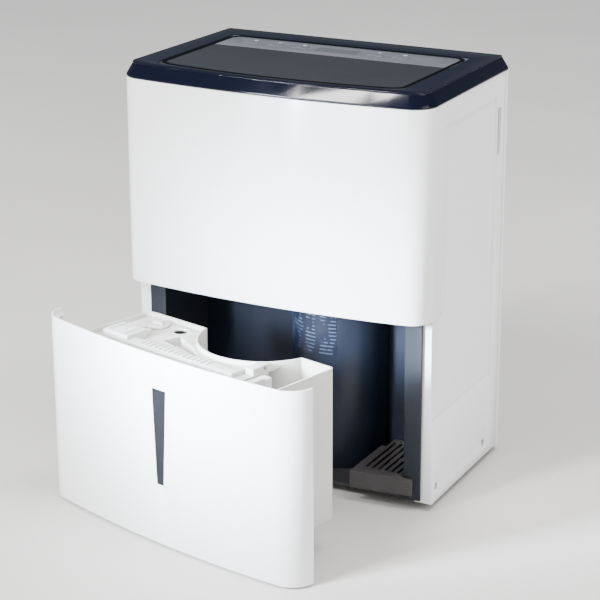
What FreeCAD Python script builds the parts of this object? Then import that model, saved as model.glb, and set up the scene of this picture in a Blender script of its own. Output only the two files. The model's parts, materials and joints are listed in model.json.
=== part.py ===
import FreeCAD, Part
import math
import os

import Sketcher
from FreeCAD import Placement, Rotation, Vector

# Compressor dehumidifier with a pull-out water bucket. Millimetres.
# Frame: +Z up, +X to the viewer's right, the front faces -Y. The origin is on the floor, under
# the middle of the casing. The bucket is drawn out and turned: that is the rest position.

SIZES = {
    # casing
    "case_width": 380.0,
    "case_depth": 250.0,
    "case_height": 480.0,
    "back_width": 370.0,
    "bow_rise": 14.0,
    "corner_radius": 28.0,
    "back_radius": 12.0,
    "wall": 2.5,
    "sill_height": 9.0,
    "opening_top": 226.5,
    "rim_height": 16.0,
    "rim_bevel": 7.5,
    "ledge_height": 108.5,
    "side_front": 84.0,
    "side_back": 110.0,
    "side_inset": 1.5,
    "side_wall": 4.0,
    "field_depth": 2.5,
    # top deck
    "deck_width": 304.0,
    "deck_front": 106.0,
    "deck_back": 84.0,
    "strip_front": 28.0,
    "deck_plate": 4.0,
    # bay for the bucket
    "bay_back": 8.0,
    "post_inner": 155.5,
    "post_inner_left": 150.0,
    "post_width": 20.5,
    "post_front": 88.0,
    "shelf_top": 38.0,
    "shelf_inner": 94.0,
    "shelf_lip": 20.0,
    "hump_x": 32.0,
    "hump_y": 10.0,
    "hump_radius": 60.0,
    # bucket
    "bucket_x": -37.8,
    "bucket_y": -296.2,
    "bucket_yaw": -14.47,
    "bucket_bottom": 2.7,
    "bucket_top": 218.7,
    "bucket_return": 40.0,
    "tub_left": 128.0,
    "tub_right": 150.0,
    "tub_back": 117.0,
    "tub_rim": 209.0,
    "tub_floor": 38.3,
    "tub_wall": 2.2,
    "keel_half": 84.0,
    "keel_bottom": 14.3,
    "cut_x": 33.5,
    "cut_radius": 72.5,
    "foot_x": -95.0,
    "foot_y": 100.0,
    # casters
    "wheel_radius": 10.0,
    "wheel_width": 10.0,
    "caster_trail": 7.0,
    # air path
    "coil_width": 250.0,
    "coil_height": 190.0,
    "coil_bottom": 250.0,
    "rotor_radius": 68.0,
    "rotor_length": 52.0,
    "fan_x": 10.0,
    "fan_z": 345.0,
    "compressor_radius": 46.0,
    # fit between neighbouring plastic mouldings
    "gap": 0.3,
}

doc = FreeCAD.newDocument("dehumidifier")
sheet = doc.addObject("Spreadsheet::Sheet", "Sizes")
for row, (alias, number) in enumerate(SIZES.items(), start=1):
    sheet.set(f"A{row}", alias)
    sheet.set(f"B{row}", str(number))
    sheet.setAlias(f"B{row}", alias)
doc.recompute()


class Size:
    """A number together with the sheet expression that drives it."""

    def __init__(self, value, text):
        self.value = value
        self.text = text

    def __add__(self, other):
        other = as_size(other)
        return Size(self.value + other.value, f"({self.text} + {other.text})")

    def __sub__(self, other):
        other = as_size(other)
        return Size(self.value - other.value, f"({self.text} - {other.text})")

    def __mul__(self, other):
        other = as_size(other)
        return Size(self.value * other.value, f"({self.text} * {other.text})")

    def __truediv__(self, other):
        other = as_size(other)
        return Size(self.value / other.value, f"({self.text} / {other.text})")

    def __neg__(self):
        return Size(-self.value, f"(0 - {self.text})")

    __radd__ = __add__
    __rmul__ = __mul__

    def __rsub__(self, other):
        return as_size(other) - self

    def __float__(self):
        return float(self.value)


def as_size(number):
    """Wraps a plain number, so that it can stand beside the sheet's sizes."""
    return number if isinstance(number, Size) else Size(float(number), f"{float(number):.4f}")


class Sheet:
    """The sheet's cells as attributes."""


s = Sheet()
for alias, number in SIZES.items():
    setattr(s, alias, Size(float(sheet.get(alias)), f"Sizes.{alias}"))

subparts = []


def keep(obj, label):
    """Names a finished sub-part, which goes to a file of that name."""
    obj.Label = label
    subparts.append(obj)
    return obj


def bind(obj, prop, size):
    obj.setExpression(prop, as_size(size).text)


# ---------------------------------------------------------------- sketches and features


def new_body(label):
    return keep(doc.addObject("PartDesign::Body", label), label)


def new_sketch(body, name, offset=0.0, plane="XY_Plane"):
    """A sketch on one of the body's own origin planes, lifted along the plane's normal."""
    sketch = body.newObject("Sketcher::SketchObject", f"{body.Label}_{name}")
    support = next(f for f in body.Origin.OriginFeatures if f.Role == plane)
    sketch.AttachmentSupport = [(support, "")]
    sketch.MapMode = "FlatFace"
    offset = as_size(offset)
    sketch.AttachmentOffset = Placement(Vector(0, 0, offset.value), Rotation())
    bind(sketch, "AttachmentOffset.Base.z", offset)
    return sketch


def rectangle(sketch, left, low, wide, tall):
    """A fully constrained rectangle whose four sizes come from the sheet."""
    left, low, wide, tall = (as_size(v) for v in (left, low, wide, tall))
    a, b, c, d = left.value, low.value, wide.value, tall.value
    corners = [Vector(a, b), Vector(a + c, b), Vector(a + c, b + d), Vector(a, b + d)]
    first = sketch.GeometryCount
    for i, corner in enumerate(corners):
        sketch.addGeometry(Part.LineSegment(corner, corners[(i + 1) % 4]), False)
    for i in range(4):
        joined = (first + i, 2, first + (i + 1) % 4, 1)
        sketch.addConstraint(Sketcher.Constraint("Coincident", *joined))
    for i, kind in enumerate(("Horizontal", "Vertical", "Horizontal", "Vertical")):
        sketch.addConstraint(Sketcher.Constraint(kind, first + i))
    measures = (
        ("DistanceX", (-1, 1, first, 1), left),
        ("DistanceY", (-1, 1, first, 1), low),
        ("DistanceX", (first, 1, first, 2), wide),
        ("DistanceY", (first + 1, 1, first + 1, 2), tall),
    )
    for kind, where, size in measures:
        measure(sketch, kind, where, size)


def measure(sketch, kind, where, size):
    """Adds one dimension to a sketch and binds it to the sheet."""
    size = as_size(size)
    index = sketch.addConstraint(Sketcher.Constraint(kind, *where, size.value))
    sketch.setExpression(f"Constraints[{index}]", size.text)


def circle(sketch, x, y, radius):
    """A fully constrained circle."""
    x, y, radius = (as_size(v) for v in (x, y, radius))
    shape = Part.Circle(Vector(x.value, y.value), Vector(0, 0, 1), radius.value)
    index = sketch.addGeometry(shape, False)
    measure(sketch, "Radius", (index,), radius)
    measure(sketch, "DistanceX", (-1, 1, index, 3), x)
    measure(sketch, "DistanceY", (-1, 1, index, 3), y)


def draw(sketch, curves):
    """Adds a closed outline made of line segments and arcs."""
    sketch.addGeometry(curves, False)


def polygon(sketch, points):
    """Adds a closed outline of straight sides, its corners joined."""
    points = [Vector(*p) for p in points]
    first = sketch.GeometryCount
    count = len(points)
    for i, point in enumerate(points):
        sketch.addGeometry(Part.LineSegment(point, points[(i + 1) % count]), False)
    for i in range(count):
        joined = (first + i, 2, first + (i + 1) % count, 1)
        sketch.addConstraint(Sketcher.Constraint("Coincident", *joined))


def extrude(body, kind, sketch, length, reverse=False, both=False):
    """A pad or pocket of the given length. The body's volume has to change with it."""
    before = body.Shape.Volume if body.Shape.Solids else 0.0
    feature = body.newObject(f"PartDesign::{kind}", f"{sketch.Name}_{kind.lower()}")
    feature.Profile = sketch
    feature.Reversed = reverse
    feature.Midplane = both
    bind(feature, "Length", length)
    sketch.Visibility = False
    doc.recompute()
    after = body.Shape.Volume
    wrong = after <= before if kind == "Pad" else after >= before
    if wrong:
        raise RuntimeError(f"{feature.Name} leaves {before:.1f} as {after:.1f} mm3")
    return feature


def revolve(body, sketch, axis):
    """A full turn of the sketch about one of its own axes."""
    feature = body.newObject("PartDesign::Revolution", f"{sketch.Name}_turned")
    feature.Profile = sketch
    feature.ReferenceAxis = (sketch, [axis])
    feature.Angle = 360
    sketch.Visibility = False
    doc.recompute()
    return feature


def pad(body, sketch, length, reverse=False, both=False):
    return extrude(body, "Pad", sketch, length, reverse, both)


def pocket_up(body, sketch, length):
    """Cuts from the sketch towards +Z."""
    return extrude(body, "Pocket", sketch, length, reverse=True)


def plate(label, outline, low, tall):
    """A body padded up from one closed outline."""
    body = new_body(label)
    sketch = new_sketch(body, "outline", low)
    draw(sketch, outline)
    pad(body, sketch, tall)
    return body


# ---------------------------------------------------------------- primitives and booleans


def box(name, low, size):
    """A Part::Box from its lowest corner and its three sizes."""
    shape = doc.addObject("Part::Box", name)
    for prop, value in zip(("Length", "Width", "Height"), size):
        bind(shape, prop, value)
    shape.Placement.Base = Vector(*(float(v) for v in low))
    return shape


def cylinder(name, foot, radius, height, axis=Vector(0, 0, 1)):
    """A Part::Cylinder that stands on foot and runs along axis."""
    shape = doc.addObject("Part::Cylinder", name)
    bind(shape, "Radius", radius)
    bind(shape, "Height", height)
    turn = Rotation(Vector(0, 0, 1), axis)
    shape.Placement = Placement(Vector(*(float(v) for v in foot)), turn)
    return shape


def fuse(name, shapes):
    joined = doc.addObject("Part::MultiFuse", name)
    joined.Shapes = list(shapes)
    joined.Refine = True
    return joined


def cut(name, base, tools):
    tools = list(tools)
    result = doc.addObject("Part::Cut", name)
    result.Base = base
    result.Tool = tools[0] if len(tools) == 1 else fuse(f"{name}_tools", tools)
    return result


def group(name, shapes):
    """Separate solids that share one sub-part."""
    joined = doc.addObject("Part::Compound", name)
    joined.Links = list(shapes)
    return joined


# ---------------------------------------------------------------- the casing's bowed outline

HALF = float(s.case_width) / 2
BACK_HALF = float(s.back_width) / 2
FRONT_Y = -float(s.case_depth) / 2
BACK_Y = float(s.case_depth) / 2
BOW = float(s.bow_rise)
CORNER = float(s.corner_radius)
REAR_CORNER = float(s.back_radius)
UP = Vector(0, 0, 1)

# The front is one large arc, whose radius follows from its rise over the casing's width.
BOW_RADIUS = (HALF**2 + BOW**2) / (2 * BOW)
BOW_CENTRE = Vector(0, FRONT_Y + BOW_RADIUS)
# The corner arcs touch the bow from inside.
CORNER_X = HALF - CORNER
CORNER_Y = BOW_CENTRE.y - math.sqrt((BOW_RADIUS - CORNER) ** 2 - CORNER_X**2)
CORNER_ANGLE = math.atan2(CORNER_Y - BOW_CENTRE.y, CORNER_X)
# The sides lean in towards the back.
LEAN = math.atan2(HALF - BACK_HALF, BACK_Y - CORNER_Y)


def side_x(y, inset=0.0):
    """Where the right side stands at depth y, moved in by inset."""
    start_x = CORNER_X + CORNER * math.cos(LEAN)
    start_y = CORNER_Y + CORNER * math.sin(LEAN)
    return start_x - (y - start_y) * math.tan(LEAN) - inset / math.cos(LEAN)


def rear_centre():
    """Centre of the right rear corner's arc."""
    y = BACK_Y - REAR_CORNER
    return Vector(side_x(y, REAR_CORNER), y)


def arc(centre, radius, start, end):
    return Part.ArcOfCircle(Part.Circle(centre, UP, radius), start, end)


def front_chain(inset, end_y, shift=0.0):
    """The front of the outline, from its left end round the bow to its right end."""
    move = Vector(0, shift)
    right = Vector(CORNER_X, CORNER_Y) + move
    left = Vector(-CORNER_X, CORNER_Y) + move
    radius = CORNER - inset
    left_arc = arc(left, radius, math.pi - LEAN, math.pi - CORNER_ANGLE)
    bow = arc(BOW_CENTRE + move, BOW_RADIUS - inset, -math.pi - CORNER_ANGLE, CORNER_ANGLE)
    right_arc = arc(right, radius, CORNER_ANGLE, LEAN)
    end_x = side_x(end_y, inset)
    left_end = Vector(-end_x, end_y) + move
    right_end = Vector(end_x, end_y) + move
    return (
        [Part.LineSegment(left_end, left_arc.StartPoint), left_arc, bow, right_arc]
        + [Part.LineSegment(right_arc.EndPoint, right_end)],
        left_end,
        right_end,
    )


def rear_chain(inset, start_y):
    """The back of the outline, from its right end round the rear corners to its left end."""
    centre = rear_centre()
    radius = max(REAR_CORNER - inset, 1.0)
    back = BACK_Y - inset
    right = Vector(side_x(back - radius, inset + radius), back - radius)
    if REAR_CORNER - inset >= 1.0:
        right = centre
    left = Vector(-right.x, right.y)
    right_arc = arc(right, radius, LEAN, math.pi / 2)
    left_arc = arc(left, radius, math.pi / 2, math.pi - LEAN)
    right_end = Vector(side_x(start_y, inset), start_y)
    left_end = Vector(-right_end.x, start_y)
    return (
        [Part.LineSegment(right_end, right_arc.StartPoint), right_arc]
        + [Part.LineSegment(right_arc.EndPoint, left_arc.StartPoint), left_arc]
        + [Part.LineSegment(left_arc.EndPoint, left_end)],
        right_end,
        left_end,
    )


def whole_outline(inset):
    """The casing's whole plan, moved in by inset."""
    front, _, _ = front_chain(inset, 0.0)
    rear, _, _ = rear_chain(inset, 0.0)
    return front + rear


def front_band(outer, inner, end_y, shift=0.0):
    """A wall that follows the front, between two insets."""
    out, out_left, out_right = front_chain(outer, end_y, shift)
    within, in_left, in_right = front_chain(inner, end_y, shift)
    ends = [Part.LineSegment(out_right, in_right), Part.LineSegment(in_left, out_left)]
    return out + within + ends


def rear_band(outer, inner, start_y):
    """A wall that follows the back, between two insets."""
    out, out_right, out_left = rear_chain(outer, start_y)
    within, in_right, in_left = rear_chain(inner, start_y)
    ends = [Part.LineSegment(out_right, in_right), Part.LineSegment(out_left, in_left)]
    return out + within + ends


def side_strip(side, outer, inner, low_y, high_y):
    """A straight stretch of side wall between two insets, as four corners."""
    corners = [(side_x(low_y, outer), low_y), (side_x(high_y, outer), high_y)]
    corners += [(side_x(high_y, inner), high_y), (side_x(low_y, inner), low_y)]
    return [(side * x, y) for x, y in corners]


# ---------------------------------------------------------------- casing


SIDES = {"left": -1, "right": 1}
PANEL_TOP = s.case_height - s.rim_height - s.gap
PANEL_TALL = PANEL_TOP - s.opening_top
BODY_TALL = PANEL_TOP - s.sill_height
FRONT_RETURN = -85.0
FIELD_FRONT, FIELD_BACK, FIELD_TOP = -62.0, 86.0, 437.0
SLOT_FRONT, SLOT_BACK, SLOT_LOW, SLOT_TALL = 91.0, 102.0, 369.0, 55.0
OUTLET_FRONT, OUTLET_BACK, OUTLET_LOW, OUTLET_TALL = -18.0, 42.0, 379.0, 50.0
SCREW_SPOTS = ((-71.0, 26.6), (70.0, 26.6))
FLANGE_X, FLANGE_THICK = 168.0, 2.5
SLOPE_LOW = 99.0
GROOVE_FRONT, GROOVE_BACK, GROOVE_LOW, GROOVE_TALL, GROOVE_DEEP = -58.0, -50.0, 232.0, 196.0, 0.6
NOTCH_FRONT, NOTCH_BACK, NOTCH_LOW, NOTCH_TALL, NOTCH_DEEP = 10.0, 17.0, 443.0, 12.0, 1.5


def make_front_panel():
    """Upper front cover: a bowed sheet with short returns round both corners."""
    body = plate("front_panel", front_band(0.0, float(s.wall), FRONT_RETURN), s.opening_top, PANEL_TALL)
    inside = new_sketch(body, "stiffener", s.opening_top)
    draw(inside, front_band(float(s.wall) - 0.1, float(s.wall) + 2.0, FRONT_RETURN))
    pad(body, inside, 3.0)


def make_side_panel(name, side):
    """Side of the casing: a shell with a sunken field, a proud base band and a grip slot."""
    outer, inner = float(s.side_inset), float(s.side_inset + s.side_wall)
    field = outer + float(s.field_depth)
    front, back = -float(s.side_front), float(s.side_back)
    body = new_body(f"side_panel_{name}")

    main = new_sketch(body, "shell", s.sill_height)
    polygon(main, side_strip(side, outer, inner, front, back))
    pad(body, main, BODY_TALL)
    flange = new_sketch(body, "front_flange", s.sill_height)
    edge_x, wall_x = side * FLANGE_X, side * side_x(front, inner - 0.5)
    flange_back = front + FLANGE_THICK
    corners = [(edge_x, front), (wall_x, front), (wall_x, flange_back), (edge_x, flange_back)]
    polygon(flange, corners)
    pad(body, flange, s.opening_top - s.gap - s.sill_height)

    recess = new_sketch(body, "field", s.ledge_height)
    polygon(recess, side_strip(side, -2.0, field, FIELD_FRONT, FIELD_BACK))
    pocket_up(body, recess, FIELD_TOP - s.ledge_height)
    lower = new_sketch(body, "lower_field", s.ledge_height)
    polygon(lower, side_strip(side, -2.0, field, front - 1.0, FIELD_FRONT))
    pocket_up(body, lower, s.opening_top - s.ledge_height)
    cut_slope(body, side, outer, field)
    groove = new_sketch(body, "seam_groove", GROOVE_LOW)
    polygon(groove, side_strip(side, -2.0, field + GROOVE_DEEP, GROOVE_FRONT, GROOVE_BACK))
    pocket_up(body, groove, GROOVE_TALL)
    notch = new_sketch(body, "notch", NOTCH_LOW)
    polygon(notch, side_strip(side, -2.0, outer + NOTCH_DEEP, NOTCH_FRONT, NOTCH_BACK))
    pocket_up(body, notch, NOTCH_TALL)

    slot = new_sketch(body, "grip_slot", SLOT_LOW)
    polygon(slot, side_strip(side, -2.0, 12.0, SLOT_FRONT, SLOT_BACK))
    pocket_up(body, slot, SLOT_TALL)
    if side < 0:
        outlet = new_sketch(body, "air_outlet", OUTLET_LOW)
        polygon(outlet, side_strip(side, -2.0, 12.0, OUTLET_FRONT, OUTLET_BACK))
        pocket_up(body, outlet, OUTLET_TALL)
    for i, (y, z) in enumerate(SCREW_SPOTS):
        seat = new_sketch(body, f"screw_{i}", z - 4.2)
        polygon(seat, side_strip(side, -2.0, outer + 2.1, y - 4.2, y + 4.2))
        pocket_up(body, seat, 8.4)


def cut_slope(body, side, outer, field):
    """Slopes the foot of the sunken field down to the proud base band."""
    ledge = float(s.ledge_height) + 0.1
    sections = []
    for y in (-float(s.side_front) - 1.0, FIELD_BACK):
        sketch = new_sketch(body, f"slope_{len(sections)}", -y, plane="XZ_Plane")
        far = side_x(y, -2.0)
        points = [(far, SLOPE_LOW), (side_x(y, outer), SLOPE_LOW)]
        points += [(side_x(y, field), ledge), (far, ledge)]
        polygon(sketch, [(side * x, z) for x, z in points])
        sections.append(sketch)
    loft = body.newObject("PartDesign::SubtractiveLoft", f"{body.Label}_slope")
    loft.Profile = sections[0]
    loft.Sections = [sections[1]]
    loft.Ruled = True
    doc.recompute()


def make_grip_cup(name, side):
    """Pocket behind the grip slot, where the fingers hook in to lift the casing."""
    inner = float(s.side_inset + s.side_wall) + 0.5
    middle = side_x((SLOT_FRONT + SLOT_BACK) / 2, inner)
    deep, wall = 20.0, 2.0
    wide = SLOT_BACK - SLOT_FRONT + 8.0
    outer_low = (side * middle - (deep if side > 0 else 0.0), SLOT_FRONT - 4.0, SLOT_LOW - 4.0)
    shell = box(f"grip_{name}_shell", outer_low, (deep, wide, SLOT_TALL + 8.0))
    hole_low = (outer_low[0] + (wall if side > 0 else -1.0), SLOT_FRONT - 2.0, SLOT_LOW - 2.0)
    hole = box(f"grip_{name}_hollow", hole_low, (deep - wall + 1.0, wide - 4.0, SLOT_TALL + 4.0))
    keep(cut(f"grip_cup_{name}", shell, [hole]), f"grip_cup_{name}")


REAR_START = s.side_back + s.gap
FILTER_HALF, FILTER_LOW, FILTER_TALL = 131.0, 245.0, 200.0
VENT_ROWS, VENT_PITCH, VENT_LOW = 9, 14.0, 70.0
DRAIN_X, DRAIN_Z, CORD_X, CORD_Z = -120.0, 150.0, 130.0, 46.0
PIPE_HOLE, CORD_HOLE = 10.5, 9.0


def rear_sketch(body, name):
    """A sketch that stands in the back wall's own plane."""
    return new_sketch(body, name, -(s.case_depth / 2), plane="XZ_Plane")


def make_rear_panel():
    """Back cover with the filter opening, cooling slots, and holes for drain and cord."""
    outline = rear_band(0.0, float(s.wall), float(REAR_START))
    body = plate("rear_panel", outline, s.sill_height, BODY_TALL)
    window = rear_sketch(body, "filter_opening")
    rectangle(window, -FILTER_HALF, FILTER_LOW, 2 * FILTER_HALF, FILTER_TALL)
    extrude(body, "Pocket", window, 20.0, both=True)
    slots = rear_sketch(body, "cooling_slots")
    for row in range(VENT_ROWS):
        low = VENT_LOW + row * VENT_PITCH
        polygon(slots, [(-60, low), (90, low), (90, low + 5), (-60, low + 5)])
    extrude(body, "Pocket", slots, 20.0, both=True)
    holes = rear_sketch(body, "outlets")
    circle(holes, DRAIN_X, DRAIN_Z, PIPE_HOLE)
    circle(holes, CORD_X, CORD_Z, CORD_HOLE)
    extrude(body, "Pocket", holes, 20.0, both=True)


def make_rim():
    """Top frame: a bevelled ring that caps the walls and carries the deck."""
    low = s.case_height - s.rim_height
    bevel_low, bevel_high = 2.0, 14.5
    body = new_body("top_rim")
    foot = new_sketch(body, "foot", low)
    draw(foot, whole_outline(0.0))
    pad(body, foot, bevel_low)
    lower = new_sketch(body, "bevel_foot", low + bevel_low)
    draw(lower, whole_outline(0.0))
    upper = new_sketch(body, "bevel_top", low + bevel_high)
    draw(upper, whole_outline(float(s.rim_bevel)))
    bevel = body.newObject("PartDesign::AdditiveLoft", "rim_bevel")
    bevel.Profile = lower
    bevel.Sections = [upper]
    bevel.Ruled = True
    doc.recompute()
    crown = new_sketch(body, "crown", low + bevel_high)
    draw(crown, whole_outline(float(s.rim_bevel)))
    pad(body, crown, s.rim_height - bevel_high)
    seat = new_sketch(body, "deck_seat", s.case_height - s.deck_plate)
    draw(seat, deck_outline(0.0, None, float(s.deck_back)))
    pocket_up(body, seat, s.deck_plate + 1)
    light = new_sketch(body, "light_opening", low - 1)
    draw(light, deck_outline(DECK_LEDGE, None, float(s.deck_back) - DECK_LEDGE))
    pocket_up(body, light, s.rim_height + 2)
    hollow = new_sketch(body, "hollow", low - 1)
    draw(hollow, whole_outline(6.5))
    pocket_up(body, hollow, 1 + s.rim_height - s.deck_plate - 3)


def deck_outline(margin, low_y, high_y):
    """Plan of the opening in the rim: bowed, round-cornered front unless it starts at low_y."""
    half = float(s.deck_width) / 2 - margin
    if low_y is not None:
        points = [Vector(-half, low_y), Vector(half, low_y), Vector(half, high_y), Vector(-half, high_y)]
        return [Part.LineSegment(a, b) for a, b in zip(points, points[1:] + points[:1])]
    round_radius = DECK_ROUND - margin
    bow_radius = BOW_RADIUS - (float(s.case_depth) / 2 - float(s.deck_front)) - margin
    x = half - round_radius
    y = BOW_CENTRE.y - math.sqrt((bow_radius - round_radius) ** 2 - x**2)
    angle = math.atan2(y - BOW_CENTRE.y, x)
    left_arc = arc(Vector(-x, y), round_radius, math.pi, math.pi - angle)
    bow = arc(BOW_CENTRE, bow_radius, -math.pi - angle, angle)
    right_arc = arc(Vector(x, y), round_radius, angle, 0)
    left_end, right_end = Vector(-half, high_y), Vector(half, high_y)
    return [
        Part.LineSegment(left_end, left_arc.StartPoint),
        left_arc,
        bow,
        right_arc,
        Part.LineSegment(right_arc.EndPoint, right_end),
        Part.LineSegment(right_end, left_end),
    ]


BUTTONS = {"power": -112.0, "mode": -80.0, "fan": -48.0, "down": 48.0, "up": 80.0}
BUTTON_WIDE, BUTTON_DEEP, BUTTON_Y, BUTTON_GAP = 20.0, 12.0, 55.0, 0.35
DISPLAY_HALF, DISPLAY_DEEP = 26.0, 20.0
DECK_DROP, DECK_ROUND, DECK_LEDGE = 0.6, 16.0, 8.0


def make_deck():
    """The two plates let into the rim, the display lens and the push buttons."""
    low = s.case_height - s.deck_plate
    thick = s.deck_plate - DECK_DROP
    gap = float(s.gap)
    seam = float(s.strip_front)

    deck = new_body("top_deck")
    sketch = new_sketch(deck, "plate", low)
    draw(sketch, deck_outline(gap, None, seam - gap))
    pad(deck, sketch, thick)

    strip = new_body("control_strip")
    sketch = new_sketch(strip, "plate", low)
    draw(sketch, deck_outline(gap, seam, float(s.deck_back) - gap))
    pad(strip, sketch, thick)
    holes = new_sketch(strip, "button_holes", low - 1)
    for x in BUTTONS.values():
        half_w, half_d = BUTTON_WIDE / 2 + BUTTON_GAP, BUTTON_DEEP / 2 + BUTTON_GAP
        polygon(holes, frame_points(x, BUTTON_Y, half_w, half_d))
    polygon(holes, frame_points(0.0, BUTTON_Y, DISPLAY_HALF + 0.2, DISPLAY_DEEP / 2 + 0.2))
    pocket_up(strip, holes, s.deck_plate + 2)

    lens = new_body("display_window")
    sketch = new_sketch(lens, "plate", low + 1)
    rectangle(sketch, -DISPLAY_HALF, BUTTON_Y - DISPLAY_DEEP / 2, 2 * DISPLAY_HALF, DISPLAY_DEEP)
    pad(lens, sketch, thick - 1)

    for name, x in BUTTONS.items():
        make_button(name, x)


def frame_points(x, y, half_wide, half_deep):
    """Corners of a rectangle about a centre."""
    return [(x - half_wide, y - half_deep), (x + half_wide, y - half_deep)] + [
        (x + half_wide, y + half_deep),
        (x - half_wide, y + half_deep),
    ]


def make_button(name, x):
    """A push button: a cap with a flange-free skirt and a stem down to its switch."""
    top = float(s.case_height) - DECK_DROP + 0.1
    cap_tall, stem_low = 3.6, 467.0
    body = new_body(f"button_{name}")
    cap = new_sketch(body, "cap", top - cap_tall)
    rectangle(cap, -BUTTON_WIDE / 2, -BUTTON_DEEP / 2, BUTTON_WIDE, BUTTON_DEEP)
    pad(body, cap, cap_tall)
    stem = new_sketch(body, "stem", top - cap_tall)
    circle(stem, 0.01, 0.01, 2.5)
    pad(body, stem, top - cap_tall - stem_low, reverse=True)
    body.Placement = Placement(Vector(x, BUTTON_Y, 0), Rotation())


def make_control_board():
    """Circuit board under the strip, with one switch below each button."""
    board_top = 463.6
    parts = [box("board_sheet", (-128, 34, board_top - 1.6), (256, 42, 1.6))]
    for name, x in BUTTONS.items():
        parts.append(box(f"board_switch_{name}", (x - 3, BUTTON_Y - 3, board_top), (6, 6, 1.8)))
    parts.append(box("board_display", (-24, BUTTON_Y - 9, board_top), (48, 18, 8)))
    for x in (-122.0, 122.0):
        for y in (38.0, 72.0):
            parts.append(cylinder(f"board_post_{x:.0f}_{y:.0f}", (x, y, board_top - 1), 3.0, 13.3))
    keep(fuse("control_board", parts), "control_board")


# ---------------------------------------------------------------- base and bucket bay


CASTERS = {
    "front_left": (-125.0, -52.0),
    "front_right": (125.0, -52.0),
    "rear_left": (-136.0, 84.0),
    "rear_right": (136.0, 84.0),
}
WELL_RADIUS, WELL_WALL, WELL_TOP, WELL_ROOF = 22.0, 2.0, 28.0, 2.5
STEM_RADIUS, STEM_PLAY = 3.0, 0.06
FLOOR_PLATE = 3.0
DECK_FRONT, DECK_LOW, DECK_HIGH = 11.0, 30.0, 33.0


def make_base():
    """Base tray: a floor with a raised machine deck and a socket over each caster."""
    inner = float(s.side_inset + s.side_wall) + 0.3
    front, back = -float(s.side_front) + FLANGE_THICK + 0.3, 122.0
    body = new_body("base_tray")
    floor = new_sketch(body, "floor", s.sill_height)
    corners = [(side_x(front, inner), front), (side_x(back - 10.0, inner), back - 10.0)]
    corners.append((side_x(back, inner) - 9.0, back))
    plan = corners + [(-x, y) for x, y in reversed(corners)]
    polygon(floor, plan)
    for x, y in CASTERS.values():
        circle(floor, x, y, WELL_RADIUS)
    pad(body, floor, FLOOR_PLATE)
    for name, (x, y) in CASTERS.items():
        wall = new_sketch(body, f"well_{name}", s.sill_height)
        circle(wall, x, y, WELL_RADIUS + WELL_WALL)
        circle(wall, x, y, WELL_RADIUS)
        pad(body, wall, WELL_TOP - s.sill_height)
        roof = new_sketch(body, f"roof_{name}", WELL_TOP - WELL_ROOF)
        circle(roof, x, y, WELL_RADIUS + WELL_WALL)
        circle(roof, x, y, STEM_RADIUS + STEM_PLAY)
        pad(body, roof, WELL_ROOF)
    wall_top = new_sketch(body, "deck_wall", s.sill_height + FLOOR_PLATE)
    polygon(wall_top, [(-170, DECK_FRONT), (170, DECK_FRONT), (170, 14), (-170, 14)])
    pad(body, wall_top, DECK_LOW - s.sill_height - FLOOR_PLATE)
    deck = new_sketch(body, "deck", DECK_LOW)
    polygon(deck, [(-170, DECK_FRONT), (170, DECK_FRONT), (166, 116), (-166, 116)])
    for name, (x, y) in CASTERS.items():
        if name.startswith("rear"):
            circle(deck, x, y, STEM_RADIUS + 6.0)
    pad(body, deck, DECK_HIGH - DECK_LOW)
    stand = new_sketch(body, "compressor_stand", s.sill_height + FLOOR_PLATE)
    circle(stand, s.hump_x, s.hump_y, s.hump_radius - s.wall - s.gap)
    pad(body, stand, DECK_HIGH - s.sill_height - FLOOR_PLATE)


def make_caster(name, place):
    """A small swivel caster: a fork with its stem and axle, and a wheel that spins on it."""
    x, y = place
    radius, trail = float(s.wheel_radius), float(s.caster_trail)
    half = float(s.wheel_width) / 2
    cheek, cheek_gap = 1.8, 0.5
    plate_low, plate_tall = 21.4, 2.2
    axle = 2.0
    outer = half + cheek_gap + cheek

    top = box(f"fork_{name}_top", (-outer, -6, plate_low), (2 * outer, trail + 13, plate_tall))
    parts = [top]
    for side in (-1, 1):
        low_x = side * (half + cheek_gap) - (cheek if side < 0 else 0.0)
        low = (low_x, trail - 4.5, radius - 4.0)
        parts.append(box(f"fork_{name}_cheek{side}", low, (cheek, 9.0, plate_low - radius + 5.0)))
    stem_foot = (0, 0, plate_low + 1)
    parts.append(cylinder(f"fork_{name}_stem", stem_foot, STEM_RADIUS, WELL_TOP + 3.0 - plate_low))
    parts.append(cylinder(f"fork_{name}_cap", (0, 0, WELL_TOP + 0.3), STEM_RADIUS + 1.6, 1.6))
    pin_foot = (-outer, trail, radius)
    parts.append(cylinder(f"fork_{name}_axle", pin_foot, axle, 2 * outer, Vector(1, 0, 0)))
    fork = fuse(f"caster_fork_{name}", parts)
    fork.Placement.Base = Vector(x, y, 0)
    keep(fork, f"caster_fork_{name}")

    wheel = new_body(f"caster_wheel_{name}")
    profile = new_sketch(wheel, "profile")
    bore, edge = axle + 0.06, 2.0
    right_round = arc(Vector(half - edge, radius - edge), edge, 0, math.pi / 2)
    left_round = arc(Vector(edge - half, radius - edge), edge, math.pi / 2, math.pi)
    low_left, low_right = Vector(-half, bore), Vector(half, bore)
    curves = [
        Part.LineSegment(low_left, low_right),
        Part.LineSegment(low_right, right_round.StartPoint),
        right_round,
        Part.LineSegment(right_round.EndPoint, left_round.StartPoint),
        left_round,
        Part.LineSegment(left_round.EndPoint, low_left),
    ]
    draw(profile, curves)
    revolve(wheel, profile, "H_Axis")
    wheel.Placement.Base = Vector(x, y + trail, radius)


POST_INNER = {"left": float(s.post_inner_left), "right": float(s.post_inner)}


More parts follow.
